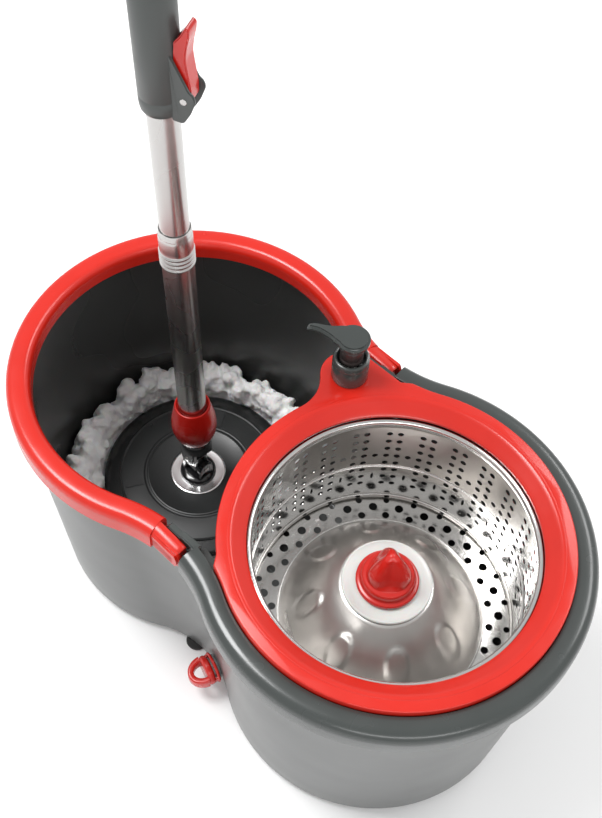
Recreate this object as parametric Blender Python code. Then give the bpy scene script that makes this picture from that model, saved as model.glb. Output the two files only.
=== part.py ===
"""Spin mop: a two-lobe bucket with a spinning basket, and a mop with a twist-drive pole.

The frame is in metres, +Z up, with the origin on the floor under the middle of the bucket.
The wash lobe lies towards -X and holds the mop. The spin lobe lies towards +X and holds
the basket. The carry handle is the rim of the wash lobe and hinges at the bucket's waist.
"""
from math import acos, atan2, cos, hypot, pi, radians, sin, sqrt

import bmesh
import bpy
from mathutils import Matrix, Vector

mm = 0.001
GAP = 0.3 * mm                      # left between pieces that touch

# Sides to a turned piece
FINE = 40
MEDIUM = 20
COARSE = 12

# Bucket plan: two round lobes joined by a waist with concave fillets
WASH_X = -101.5 * mm
SPIN_X = 99.0 * mm
RIM_R_WASH = 133.4 * mm
RIM_R_SPIN = 135.9 * mm
RIM_FILLET = 100 * mm
TOP_R_WASH = 126.5 * mm
TOP_R_SPIN = 129.0 * mm
TOP_FILLET = 107 * mm
BASE_R_WASH = 115 * mm
BASE_R_SPIN = 117.5 * mm
BASE_FILLET = 76 * mm

LOBE_STEPS = (28, 8)                # facets round a lobe and along a fillet

# Bucket heights
FOOT_HEIGHT = 3.2 * mm
BASE_Z = FOOT_HEIGHT + GAP
BASE_ROUND = 5 * mm
WALL_TOP_Z = 219 * mm
WALL = 2.6 * mm
FLOOR_Z = BASE_Z + 3 * mm
FOOT_RADIUS = 9 * mm
BEAD_Z = 197 * mm                   # lower edge of the thickened band under the rim
BEAD_DEPTH = 1.6 * mm
HINGE_NOTCH = (-24.5 * mm, 13 * mm)  # where the wall is cut away for the hinge
HINGE_NOTCH_Z = 201.8 * mm

# Rim collar and deck on the spin lobe
COLLAR_TOP_Z = 224 * mm
COLLAR_SKIRT_Z = 205 * mm
COLLAR_WIDTH = 16 * mm
COLLAR_LEDGE = 22 * mm              # how far in the ledge under the deck reaches
LEDGE_TOP_Z = 214.5 * mm
DECK_TOP_Z = 229 * mm
DECK_BASE_Z = LEDGE_TOP_Z + GAP
DECK_SKIN = 2.5 * mm
DECK_INSET = COLLAR_WIDTH + 0.5 * mm
DECK_SLOPE_R = 110.5 * mm           # where the ring starts to dip towards the basket
BASKET_HOLE_R = 99.3 * mm
LIP_TOP_Z = 221.5 * mm
LIP_BASE_Z = 219.3 * mm
NEAR_NOTCH_X = 25 * mm
FAR_NOTCH_X = 21 * mm
PLATFORM_R = 21 * mm
PLATFORM_FILLET = 30 * mm

# Carry handle: a channel that caps the wash lobe's wall
BAND_TOP_Z = 222 * mm
BAND_SKIRT_Z = 202.5 * mm
BAND_WIDTH = 18 * mm
BAND_SKIN = 2.5 * mm
HINGE_X = -6 * mm
HINGE_Z = 211.5 * mm
BAND_END_X = -19.2 * mm
TAB_END_R = 13.3 * mm               # the tab's round end, about the hinge
LUG_END_R = 12.5 * mm
LUG_HALF_HEIGHT = 8.5 * mm
LUG_Y = (95.2 * mm, 100.2 * mm)     # the lug lies inside the tab
TAB_Y = (106.6 * mm, 112 * mm)
TAB_TOP_Y = 100.6 * mm              # the tab is wider above the hinge pin
COLLAR_END_X = 8.6 * mm
HINGE_PIN_R = 2.6 * mm

# Drain
DRAIN_X = 20 * mm
DRAIN_Z = 25 * mm
NECK_R = 8 * mm
NECK_BORE_R = 5.5 * mm
NECK_LENGTH = 13 * mm
PLUG_R = 12 * mm
PLUG_END = 12.5 * mm
PULL_RING_REACH = 26 * mm

# Basket and its bearing
BASKET_R = 97.6 * mm
SHEET = 0.8 * mm
BASKET_FLOOR_Z = 108 * mm
DOME_FOOT_R = 76 * mm
DOME_TOP_R = 33 * mm
DOME_TOP_Z = 156.5 * mm
ROLL_Z = 215.4 * mm
BOSS_R = 32.6 * mm
BOSS_Z = 160 * mm
CONE_R = 22.6 * mm
CONE_TIP_Z = 201 * mm
SPINDLE_R = 4 * mm
SPINDLE_TOP_Z = 178 * mm
POST_TOP_Z = 100 * mm

# Soap pump
PUMP_X = -12 * mm
PUMP_Y = 72.5 * mm
CAP_R = 13.3 * mm
CAP_TOP_Z = 251 * mm
CAP_RECESS_Z = 236 * mm
CAP_PLUG_R = 9.2 * mm
PUMP_BORE_R = 5 * mm
SKIRT_R = 8.4 * mm
SKIRT_BASE_Z = 248.5 * mm
HEAD_Z = 267.5 * mm
HEAD_THICKNESS = 5.5 * mm
HEAD_R = 12 * mm
SPOUT_LENGTH = 34 * mm
SPOUT_ANGLE = radians(203)
SPRING_BASE_Z = 183 * mm
SPRING_TOP_Z = 199 * mm
BOTTLE_R = 20 * mm
BOTTLE_BASE_Z = 138 * mm

# Mop head
MOP_X = -111.5 * mm
MOP_Y = 8 * mm
YARN_R = 105.5 * mm                 # outer radius of the bunched strands
YARN_SHIFT = (4 * mm, -6 * mm)      # how far that outline lies from the mop's axis
YARN_TOP_Z = 70 * mm
YARN_SIDE_X = -29 * mm              # the strands lie no further towards the deck, so the head lifts out
YARN_PUMP_R = 35.6 * mm             # space kept clear of strands round the pump, for the same reason
PLATE_R = 80 * mm
PLATE_BASE_Z = 37.4 * mm
PLATE_TOP_Z = 49 * mm
DISC_R = 23.3 * mm
LOWER_PIVOT_Z = 64 * mm
UPPER_PIVOT_Z = 80 * mm
EYE_R = 7 * mm
EYE_HALF = 6 * mm
LUG_INNER = 6.3 * mm
LUG_OUTER = 11 * mm
JOINT_PIN_R = 2.6 * mm

# Pole, measured along its axis from the upper pivot; it leans a little towards -X
POLE_LEAN = radians(-1.28)
FORK_TOP = 25 * mm
SOCKET_TOP = 69.5 * mm
LOWER_TUBE_R = 11 * mm
MIDDLE_TUBE_R = 10 * mm
UPPER_TUBE_R = 11 * mm
TUBE_WALL = 0.65 * mm
FERRULE_BASE = 236 * mm
FERRULE_TOP = 270 * mm
FERRULE_R = 11.6 * mm
MIDDLE_TUBE_TOP = 671 * mm
LOCK_BASE = 369 * mm
LOCK_TOP = 480 * mm
LOCK_R = 13.4 * mm
LOCK_ANGLE = radians(24)            # the way the lever faces, about the pole
LEVER_PIN_REACH = 17.6 * mm
LEVER_PIN_Z = 384 * mm
UPPER_TUBE_BASE = 394 * mm
UPPER_TUBE_TOP = 1010 * mm
GRIP_BASE = 865 * mm
GRIP_TOP = 1020 * mm
GRIP_R = 15 * mm
LOOP_TOP = 1072 * mm
ROD_WIDTH = 7 * mm
ROD_THICKNESS = 3 * mm
ROD_LEAD = 60 * mm
ROD_BASE = 340 * mm
ROD_TOP = 930 * mm

SMOOTH_ANGLE = radians(38)


# ---------------------------------------------------------------- scene helpers

def clear_scene():
    for thing in list(bpy.data.objects):
        bpy.data.objects.remove(thing, do_unlink=True)


def finish(name, colour, roughness, metallic=0.0, alpha=1.0):
    """A Principled material."""
    made = bpy.data.materials.new(name)
    made.use_nodes = True
    shader = made.node_tree.nodes["Principled BSDF"]
    shader.inputs["Base Color"].default_value = (*colour, 1.0)
    shader.inputs["Roughness"].default_value = roughness
    shader.inputs["Metallic"].default_value = metallic
    shader.inputs["Alpha"].default_value = alpha
    return made


def pivot(name, at, turn=None, parent=None):
    """An empty on a joint's axis, for a moving piece to hang from."""
    empty = bpy.data.objects.new(name, None)
    empty.empty_display_size = 0.02
    bpy.context.scene.collection.objects.link(empty)
    empty.matrix_world = Matrix.Translation(at) @ (turn or Matrix.Identity(4))
    if parent:
        empty.parent = parent
        empty.matrix_parent_inverse = parent.matrix_world.inverted()
    return empty


def add(name, bm, look, parent=None):
    """Turn a bmesh into an object, with its faces out and its round sides smooth."""
    bmesh.ops.recalc_face_normals(bm, faces=bm.faces)
    mesh = bpy.data.meshes.new(name)
    bm.to_mesh(mesh)
    bm.free()
    mesh.shade_smooth()
    mesh.set_sharp_from_angle(angle=SMOOTH_ANGLE)
    made = bpy.data.objects.new(name, mesh)
    bpy.context.scene.collection.objects.link(made)
    if look:
        mesh.materials.append(look)
    if parent:
        made.parent = parent
    return made


def combine(target, tool, operation):
    """Join a tool solid to the target, or cut it away, and keep the tool as a hidden guide."""
    tool.hide_render = True
    tool.display_type = "WIRE"
    step = target.modifiers.new(operation.title(), "BOOLEAN")
    step.operation = operation
    step.solver = "EXACT"
    step.object = tool


# ---------------------------------------------------------------- shape helpers

def skin(bm, loops, closed):
    """Faces between matching loops of vertices, with an end cap on each open end."""
    pairs = list(zip(loops, loops[1:]))
    if closed:
        pairs.append((loops[-1], loops[0]))
    for low, high in pairs:
        for i in range(len(low)):
            j = (i + 1) % len(low)
            bm.faces.new((low[i], low[j], high[j], high[i]))
    if not closed:
        bm.faces.new(reversed(loops[0]))
        bm.faces.new(loops[-1])


def lathe(profile, segments, closed=True):
    """Turn (radius, height) points about Z. An open profile starts and ends on the axis."""
    bm = bmesh.new()
    rings = []
    for radius, height in profile:
        if radius == 0:
            rings.append([bm.verts.new((0, 0, height))])
            continue
        turn = [2 * pi * k / segments for k in range(segments)]
        rings.append([bm.verts.new((radius * cos(a), radius * sin(a), height)) for a in turn])
    pairs = list(zip(rings, rings[1:]))
    if closed:
        pairs.append((rings[-1], rings[0]))
    for low, high in pairs:
        for i in range(segments):
            j = (i + 1) % segments
            corners = [low[i % len(low)], low[j % len(low)], high[j % len(high)], high[i % len(high)]]
            bm.faces.new(list(dict.fromkeys(corners)))
    return bm


def prism(outline, low, high, round_top=0.0):
    """Extrude a flat outline from one height to another."""
    bm = bmesh.new()
    base = bm.faces.new([bm.verts.new((x, y, low)) for x, y in outline])
    raised = bmesh.ops.extrude_face_region(bm, geom=[base])["geom"]
    top = [v for v in raised if isinstance(v, bmesh.types.BMVert)]
    bmesh.ops.translate(bm, vec=(0, 0, high - low), verts=top)
    if round_top:
        rim = [e for e in bm.edges if all(v in set(top) for v in e.verts)]
        bmesh.ops.bevel(bm, geom=rim, offset=round_top, segments=1, affect="EDGES")
    return bm


def bar(radius, start, end, segments=COARSE):
    """A round bar between two points."""
    start, end = Vector(start), Vector(end)
    length = (end - start).length
    bm = lathe([(0, 0), (radius, 0), (radius, length), (0, length)], segments, closed=False)
    turn = (end - start).to_track_quat("Z", "Y").to_matrix().to_4x4()
    bmesh.ops.transform(bm, matrix=Matrix.Translation(start) @ turn, verts=bm.verts)
    return bm


def block(low, high):
    """A box between two corners."""
    bm = bmesh.new()
    bmesh.ops.create_cube(bm, size=1.0)
    low, high = Vector(low), Vector(high)
    bmesh.ops.scale(bm, vec=high - low, verts=bm.verts)
    bmesh.ops.translate(bm, vec=(low + high) / 2, verts=bm.verts)
    return bm


def slab(outline, half_low, half_high, frame):
    """Extrude an outline of (reach, height) points sideways, in a frame of its own."""
    bm = prism(outline, half_low, half_high)
    bmesh.ops.transform(bm, matrix=frame, verts=bm.verts)
    return bm


def arc(centre, radius, start, end, steps):
    """Points on an arc, both ends included."""
    turn = [start + (end - start) * k / steps for k in range(steps + 1)]
    return [(centre[0] + radius * cos(a), centre[1] + radius * sin(a)) for a in turn]


def smooth_loop(path, radius, sides):
    """A round wire along an open path, with flat ends."""
    bm = bmesh.new()
    loops = []
    for k, point in enumerate(path):
        ahead = path[min(k + 1, len(path) - 1)]
        behind = path[max(k - 1, 0)]
        frame = (ahead - behind).to_track_quat("Z", "Y").to_matrix()
        loops.append([bm.verts.new(point + frame @ Vector((radius * cos(2 * pi * s / sides),
                                                           radius * sin(2 * pi * s / sides), 0)))
                      for s in range(sides)])
    skin(bm, loops, closed=False)
    return bm


# ---------------------------------------------------------------- bucket plan

def plan(wash, spin, fillet, steps=LOBE_STEPS):
    """Stations round the bucket: (centre, radius, side, angle). Side is -1 on a fillet."""
    reach = SPIN_X - WASH_X
    from_wash, from_spin = wash + fillet, spin + fillet
    along = (from_wash**2 - from_spin**2 + reach**2) / (2 * reach)
    fx, fy = WASH_X + along, sqrt(from_wash**2 - along**2)
    to_spin = atan2(-fy, SPIN_X - fx)
    to_wash = atan2(-fy, WASH_X - fx)
    spin_end = to_spin + pi
    wash_end = to_wash + pi
    runs = [((SPIN_X, 0), spin, 1, -spin_end, spin_end, steps[0]),
            ((fx, fy), fillet, -1, to_spin, to_wash, steps[1]),
            ((WASH_X, 0), wash, 1, wash_end, 2 * pi - wash_end, steps[0]),
            ((fx, -fy), fillet, -1, -to_wash, -to_spin, steps[1])]
    return [(centre, radius, side, start + (end - start) * k / count)
            for centre, radius, side, start, end, count in runs for k in range(count)]


def place(station, offset=0.0):
    """The point of a station, moved outward by an offset."""
    (x, y), radius, side, angle = station
    grown = radius + side * offset
    return x + grown * cos(angle), y + grown * sin(angle)


RIM = plan(RIM_R_WASH, RIM_R_SPIN, RIM_FILLET)
FILLET_X, FILLET_Y = RIM[LOBE_STEPS[0]][0]


def fillet_station(x, side):
    """The rim's station at a given x on the far (+1) or near (-1) fillet."""
    angle = acos((x - FILLET_X) / RIM_FILLET)
    return (FILLET_X, side * FILLET_Y), RIM_FILLET, -1, -side * angle


def rim_between(low_x, high_x, lobe):
    """The rim's own stations on one lobe and its fillets, between two values of x."""
    count = len(RIM)
    start = 0 if lobe == "wash" else count // 2
    order = [(k + start) % count for k in range(count)]
    return [RIM[k] for k in order if low_x < place(RIM[k])[0] < high_x]


def strip(stations, profile):
    """Sweep a closed (offset, height) profile along an open row of stations."""
    bm = bmesh.new()
    loops = [[bm.verts.new((*place(station, offset), height)) for offset, height in profile]
             for station in stations]
    skin(bm, loops, closed=False)
    return bm


# ---------------------------------------------------------------- bucket

def bucket_ring(bm, share, inward, height):
    """One level of the bucket's wall, from its base plan (0) to its top plan (1)."""
    def mix(low, high):
        return low + (high - low) * share
    stations = plan(mix(BASE_R_WASH, TOP_R_WASH), mix(BASE_R_SPIN, TOP_R_SPIN),
                    mix(BASE_FILLET, TOP_FILLET))
    return [bm.verts.new((*place(station, -inward), height)) for station in stations]


def build_bucket(look):
    bm = bmesh.new()

    def share(height):
        return (height - BASE_Z) / (WALL_TOP_Z - BASE_Z)

    def level(height, inward):
        return bucket_ring(bm, share(height), inward, height)

    corner = BASE_ROUND * (1 - sqrt(0.5))
    outside = [level(BASE_Z, BASE_ROUND - corner),
               level(BASE_Z + BASE_ROUND - corner, 0),
               level(BEAD_Z, 0),
               level(BEAD_Z, -BEAD_DEPTH),
               level(WALL_TOP_Z, -BEAD_DEPTH)]
    inside = [level(WALL_TOP_Z, WALL),
              level(FLOOR_Z + BASE_ROUND - corner, WALL),
              level(FLOOR_Z, WALL + BASE_ROUND - corner)]
    skin(bm, outside + inside, closed=False)
    shell = add("bucket_shell", bm, look)
    start, out = drain_axis()
    combine(shell, add("drain_hole", bar(NECK_R + GAP, start - out * 12 * mm, start + out * 8 * mm, MEDIUM),
                       None), "DIFFERENCE")
    for side, word in ((1, "far"), (-1, "near")):
        low_y, high_y = sorted((side * 85 * mm, side * 130 * mm))
        notch = block((HINGE_NOTCH[0], low_y, HINGE_NOTCH_Z), (HINGE_NOTCH[1], high_y, WALL_TOP_Z + 5 * mm))
        combine(shell, add(f"hinge_notch_{word}", notch, None), "DIFFERENCE")
    return shell


def build_feet(look):
    waist_x, waist_y = -15 * mm, 85 * mm
    reach = 95 * mm * cos(radians(45))
    spots = [(waist_x, waist_y), (waist_x, -waist_y),
             (WASH_X - reach, reach), (WASH_X - reach, -reach),
             (SPIN_X + reach, reach), (SPIN_X + reach, -reach)]
    for number, (x, y) in enumerate(spots, start=1):
        profile = [(0, 0), (FOOT_RADIUS - 1 * mm, 0), (FOOT_RADIUS, 1 * mm),
                   (FOOT_RADIUS, FOOT_HEIGHT), (0, FOOT_HEIGHT)]
        foot = add(f"foot_{number}", lathe(profile, COARSE, closed=False), look)
        foot.location = (x, y, 0)


def collar_profile():
    """Cross-section of the rim collar: a channel over the wall with a ledge for the deck."""
    skin_in = 2.6 * mm
    return [(0, COLLAR_SKIRT_Z), (0, COLLAR_TOP_Z - 4.5 * mm),
            (-1.3 * mm, COLLAR_TOP_Z - 1.3 * mm), (-4.5 * mm, COLLAR_TOP_Z),
            (-COLLAR_WIDTH, COLLAR_TOP_Z), (-COLLAR_WIDTH, LEDGE_TOP_Z),
            (-COLLAR_LEDGE, LEDGE_TOP_Z), (-COLLAR_LEDGE, LEDGE_TOP_Z - skin_in),
            (-COLLAR_WIDTH + skin_in, LEDGE_TOP_Z - skin_in),
            (-COLLAR_WIDTH + skin_in, COLLAR_TOP_Z - skin_in),
            (-4.8 * mm, COLLAR_TOP_Z - skin_in), (-skin_in, COLLAR_TOP_Z - 5 * mm),
            (-skin_in, COLLAR_SKIRT_Z)]


def lap_mesh(side, reach, across, end_r, outward):
    """A lug or tab of the hinge: flat sides, and a round end about the hinge's axis."""
    half = LUG_HALF_HEIGHT
    bend = acos(half / end_r)
    if outward:
        outline = [(HINGE_X + reach, HINGE_Z + half), (HINGE_X + reach, HINGE_Z - half)]
        outline += arc((HINGE_X, HINGE_Z), end_r, -pi / 2 + bend, pi / 2 - bend, 6)
    else:
        outline = [(HINGE_X + reach, HINGE_Z - half), (HINGE_X + reach, HINGE_Z + half)]
        outline += arc((HINGE_X, HINGE_Z), end_r, pi / 2 + bend, 3 * pi / 2 - bend, 6)
    low, high = sorted((-side * across[0], -side * across[1]))
    return slab(outline, low, high, Matrix.Rotation(pi / 2, 4, "X"))


def build_collar(look):
    """The collar round the spin lobe, with a lug at each side of the waist for the handle."""
    stations = ([fillet_station(COLLAR_END_X, -1)] + rim_between(COLLAR_END_X + 3 * mm, 1, "spin")
                + [fillet_station(COLLAR_END_X, 1)])
    collar = add("rim_collar", strip(stations, collar_profile()), look)
    for side, word in ((1, "far"), (-1, "near")):
        low_y, high_y = sorted((side * 94.5 * mm, side * LUG_Y[1]))
        root = block((HINGE_X + 2 * mm, low_y, HINGE_Z - LUG_HALF_HEIGHT + 0.7 * mm),
                     (COLLAR_END_X + 3.5 * mm, high_y, COLLAR_TOP_Z - 1.4 * mm))
        lug = lap_mesh(side, 6 * mm, LUG_Y, LUG_END_R, False)
        combine(collar, add(f"lug_root_{word}", root, None), "UNION")
        combine(collar, add(f"lug_{word}", lug, None), "UNION")
        hole = bar(HINGE_PIN_R + GAP, (HINGE_X, side * 90 * mm, HINGE_Z), (HINGE_X, side * 110 * mm, HINGE_Z))
        combine(collar, add(f"lug_hole_{word}", hole, None), "DIFFERENCE")
    return collar


def build_handle(look):
    """The carry handle: a channel round the wash lobe, ending in a tab at each hinge."""
    swing = pivot("handle_axis", (HINGE_X, 0, HINGE_Z))
    back = Matrix.Translation((-HINGE_X, 0, -HINGE_Z))
    top, low, width, thick = BAND_TOP_Z, BAND_SKIRT_Z, BAND_WIDTH, BAND_SKIN
    profile = [(0, low), (0, top - 5 * mm), (-1.6 * mm, top - 1.6 * mm), (-5 * mm, top),
               (-13 * mm, top), (-16.4 * mm, top - 1.6 * mm), (-width, top - 5 * mm),
               (-width, low + 4 * mm), (-width + thick, low + 4 * mm),
               (-width + thick, top - 5 * mm), (-13 * mm, top - thick), (-5 * mm, top - thick),
               (-thick, top - 5 * mm), (-thick, low)]
    stations = ([fillet_station(BAND_END_X, 1)] + rim_between(-1, BAND_END_X - 2 * mm, "wash")
                + [fillet_station(BAND_END_X, -1)])
    bm = strip(stations, profile)
    bmesh.ops.transform(bm, matrix=back, verts=bm.verts)
    handle = add("carry_handle", bm, look, swing)
    for side, word in ((1, "far"), (-1, "near")):
        tab = lap_mesh(side, BAND_END_X - HINGE_X - 1.5 * mm, TAB_Y, TAB_END_R, True)
        bmesh.ops.transform(tab, matrix=back, verts=tab.verts)
        combine(handle, add(f"tab_{word}", tab, None, swing), "UNION")
        low_y, high_y = sorted((side * TAB_TOP_Y, side * (TAB_Y[0] + 1 * mm)))
        crown = block((BAND_END_X - HINGE_X - 1.5 * mm, low_y, 0.9 * mm), (10.2 * mm, high_y, 8 * mm))
        combine(handle, add(f"tab_crown_{word}", crown, None, swing), "UNION")
        hole = bar(HINGE_PIN_R + GAP, (0, side * 97 * mm, 0), (0, side * 109.5 * mm, 0))
        combine(handle, add(f"tab_hole_{word}", hole, None, swing), "DIFFERENCE")
    return handle


def build_hinge_pins(look):
    for side, word in ((1, "far"), (-1, "near")):
        pin = bar(HINGE_PIN_R, (HINGE_X, side * 96 * mm, HINGE_Z), (HINGE_X, side * 109 * mm, HINGE_Z))
        add(f"handle_pin_{word}", pin, look)


def deck_outline():
    """The deck's edge: inside the collar, with a round platform for the pump at the waist."""
    inset = -DECK_INSET
    near = place(fillet_station(NEAR_NOTCH_X, -1), inset)
    far = place(fillet_station(FAR_NOTCH_X, 1), inset)
    ring_r = RIM_R_SPIN - DECK_INSET
    edge = [near]
    edge += [place(station, inset) for station in rim_between(NEAR_NOTCH_X + 4 * mm, 1, "spin")]
    edge += [far, (FAR_NOTCH_X - 2.5 * mm, PUMP_Y + PLATFORM_R + 0.6 * mm)]
    pump, spin = Vector((PUMP_X, PUMP_Y)), Vector((SPIN_X, 0))
    apart = (spin - pump).length
    to_pump, to_spin = PLATFORM_R + PLATFORM_FILLET, ring_r + PLATFORM_FILLET
    along = (to_pump**2 - to_spin**2 + apart**2) / (2 * apart)
    across = sqrt(to_pump**2 - along**2)
    toward = (spin - pump) / apart
    corner = pump + toward * along + Vector((toward.y, -toward.x)) * across
    from_pump = atan2(pump.y - corner.y, pump.x - corner.x)
    from_spin = atan2(spin.y - corner.y, spin.x - corner.x)
    edge += arc(pump, PLATFORM_R, pi / 2, from_pump + pi, 10)
    edge += arc(corner, PLATFORM_FILLET, from_pump, from_spin, 6)[1:]
    notch = pi + acos((SPIN_X - NEAR_NOTCH_X) / ring_r)
    edge += arc(spin, ring_r, from_spin + pi, notch, 16)[1:]
    return edge


def shrink(outline, distance):
    """Move each point of a counterclockwise outline inward along its corner's bisector."""
    moved = []
    for k, point in enumerate(outline):
        here = Vector(point)
        before = (here - Vector(outline[k - 1])).normalized()
        after = (Vector(outline[(k + 1) % len(outline)]) - here).normalized()
        inward = Vector((-before.y - after.y, before.x + after.x)).normalized()
        lean = max(0.5, inward.dot(Vector((-after.y, after.x))))
        moved.append(tuple(here + inward * distance / lean))
    return moved


def build_deck(look):
    """The red deck: a skinned plate with a sloping lip round the basket and the pump's platform."""
    outline = deck_outline()
    deck = add("deck", prism(outline, DECK_BASE_Z, DECK_TOP_Z, round_top=1.5 * mm), look)
    pocket = prism(shrink(outline, DECK_SKIN), DECK_BASE_Z - 5 * mm, DECK_TOP_Z - DECK_SKIN)
    combine(deck, add("deck_pocket", pocket, None), "DIFFERENCE")

    def at_basket(bm):
        bmesh.ops.translate(bm, vec=(SPIN_X, 0, 0), verts=bm.verts)
        return bm

    hole = at_basket(lathe([(0, 0.2), (DECK_SLOPE_R - 3 * mm, 0.2), (DECK_SLOPE_R - 3 * mm, 0.24),
                            (0, 0.24)], FINE - 7, closed=False))
    combine(deck, add("deck_basket_hole", hole, None), "DIFFERENCE")
    lip = at_basket(lathe([(BASKET_HOLE_R, LIP_BASE_Z), (BASKET_HOLE_R, LIP_TOP_Z),
                           (BASKET_HOLE_R + 3 * mm, LIP_TOP_Z + 2 * mm),
                           (DECK_SLOPE_R - 2 * mm, DECK_TOP_Z - 0.6 * mm),
                           (DECK_SLOPE_R, DECK_TOP_Z - 0.4 * mm),
                           (DECK_SLOPE_R, DECK_TOP_Z - 3.5 * mm),
                           (BASKET_HOLE_R + 4 * mm, LIP_BASE_Z + 1 * mm)], FINE))
    combine(deck, add("deck_lip", lip, None), "UNION")
    pump_hole = bar(CAP_PLUG_R + GAP, (PUMP_X, PUMP_Y, 0.2), (PUMP_X, PUMP_Y, 0.24), MEDIUM)
    combine(deck, add("deck_pump_hole", pump_hole, None), "DIFFERENCE")
    return deck


# ---------------------------------------------------------------- drain

def drain_axis():
    """Where the drain's axis leaves the near wall, and its outward direction."""
    share = (DRAIN_Z - BASE_Z) / (WALL_TOP_Z - BASE_Z)
    stations = plan(BASE_R_WASH + (TOP_R_WASH - BASE_R_WASH) * share,
                    BASE_R_SPIN + (TOP_R_SPIN - BASE_R_SPIN) * share,
                    BASE_FILLET + (TOP_FILLET - BASE_FILLET) * share)
    centre, radius = stations[-1][0], stations[-1][1]
    angle = acos((DRAIN_X - centre[0]) / radius)
    wall = Vector((centre[0] + radius * cos(angle), centre[1] + radius * sin(angle), DRAIN_Z))
    out = Vector((-cos(angle), -sin(angle), 0))
    return wall, out


def build_drain(grey, red, rubber):
    wall, out = drain_axis()
    frame = Matrix.Translation(wall) @ out.to_track_quat("Z", "Y").to_matrix().to_4x4()

    def along(bm):
        bmesh.ops.transform(bm, matrix=frame, verts=bm.verts)
        return bm

    neck = [(NECK_BORE_R, -7 * mm), (NECK_R, -7 * mm), (NECK_R, 1.6 * mm), (NECK_R + 2 * mm, 1.6 * mm),
            (NECK_R + 2 * mm, 3 * mm), (NECK_R, 3 * mm), (NECK_R, NECK_LENGTH - 3 * mm),
            (NECK_BORE_R, NECK_LENGTH - 3 * mm)]
    add("drain_neck", along(lathe(neck, MEDIUM)), grey)
    seal = [(NECK_R + GAP, -6.6 * mm), (NECK_R + 2.5 * mm, -6.6 * mm), (NECK_R + 2.5 * mm, -4.4 * mm),
            (NECK_R + GAP, -4.4 * mm)]
    add("drain_seal", along(lathe(seal, COARSE)), rubber)
    slide = pivot("plug_axis", wall, out.to_track_quat("Z", "Y").to_matrix().to_4x4())
    inside = NECK_R + GAP
    cup = [(0, NECK_LENGTH - 2.5 * mm), (inside, NECK_LENGTH - 2.5 * mm), (inside, 7 * mm),
           (PLUG_R - 1.2 * mm, 7 * mm), (PLUG_R, 8.2 * mm), (PLUG_R, PLUG_END - 1.5 * mm),
           (PLUG_R - 1.5 * mm, PLUG_END), (0, PLUG_END)]
    plug = add("drain_plug", lathe(cup, MEDIUM, closed=False), red, slide)
    collar = [(inside, 3.3 * mm), (PLUG_R + 0.6 * mm, 3.3 * mm), (PLUG_R + 0.6 * mm, 5.5 * mm),
              (inside, 5.5 * mm)]
    combine(plug, add("plug_collar", lathe(collar, MEDIUM), None, slide), "UNION")
    for side in (-1, 1):
        leg = block((side * 9.6 * mm - 1.6 * mm, -3 * mm, 4 * mm), (side * 9.6 * mm + 1.6 * mm, 3 * mm, 8 * mm))
        combine(plug, add(f"plug_leg_{side + 1}", leg, None, slide), "UNION")
    reach = PULL_RING_REACH - PLUG_END
    bow = [Vector((PLUG_R - 2.4 * mm, 0, PLUG_END - 1.5 * mm))]
    bow += [Vector(((PLUG_R - 2.4 * mm) * cos(pi * k / 10), 0, PLUG_END + reach * sin(pi * k / 10)))
            for k in range(1, 10)]
    bow += [Vector((-PLUG_R + 2.4 * mm, 0, PLUG_END - 1.5 * mm))]
    combine(plug, add("pull_ring", smooth_loop(bow, 1.6 * mm, 8), None, slide), "UNION")


# ---------------------------------------------------------------- basket

def dome(step, thickness=0.0):
    """A point on the S-shaped dome in the basket's floor, from its foot (0) to its top (1)."""
    radius = DOME_FOOT_R + (DOME_TOP_R - DOME_FOOT_R) * step
    height = BASKET_FLOOR_Z + (DOME_TOP_Z - BASKET_FLOOR_Z) * (0.5 - 0.5 * cos(pi * step))
    return radius, height - thickness


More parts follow.
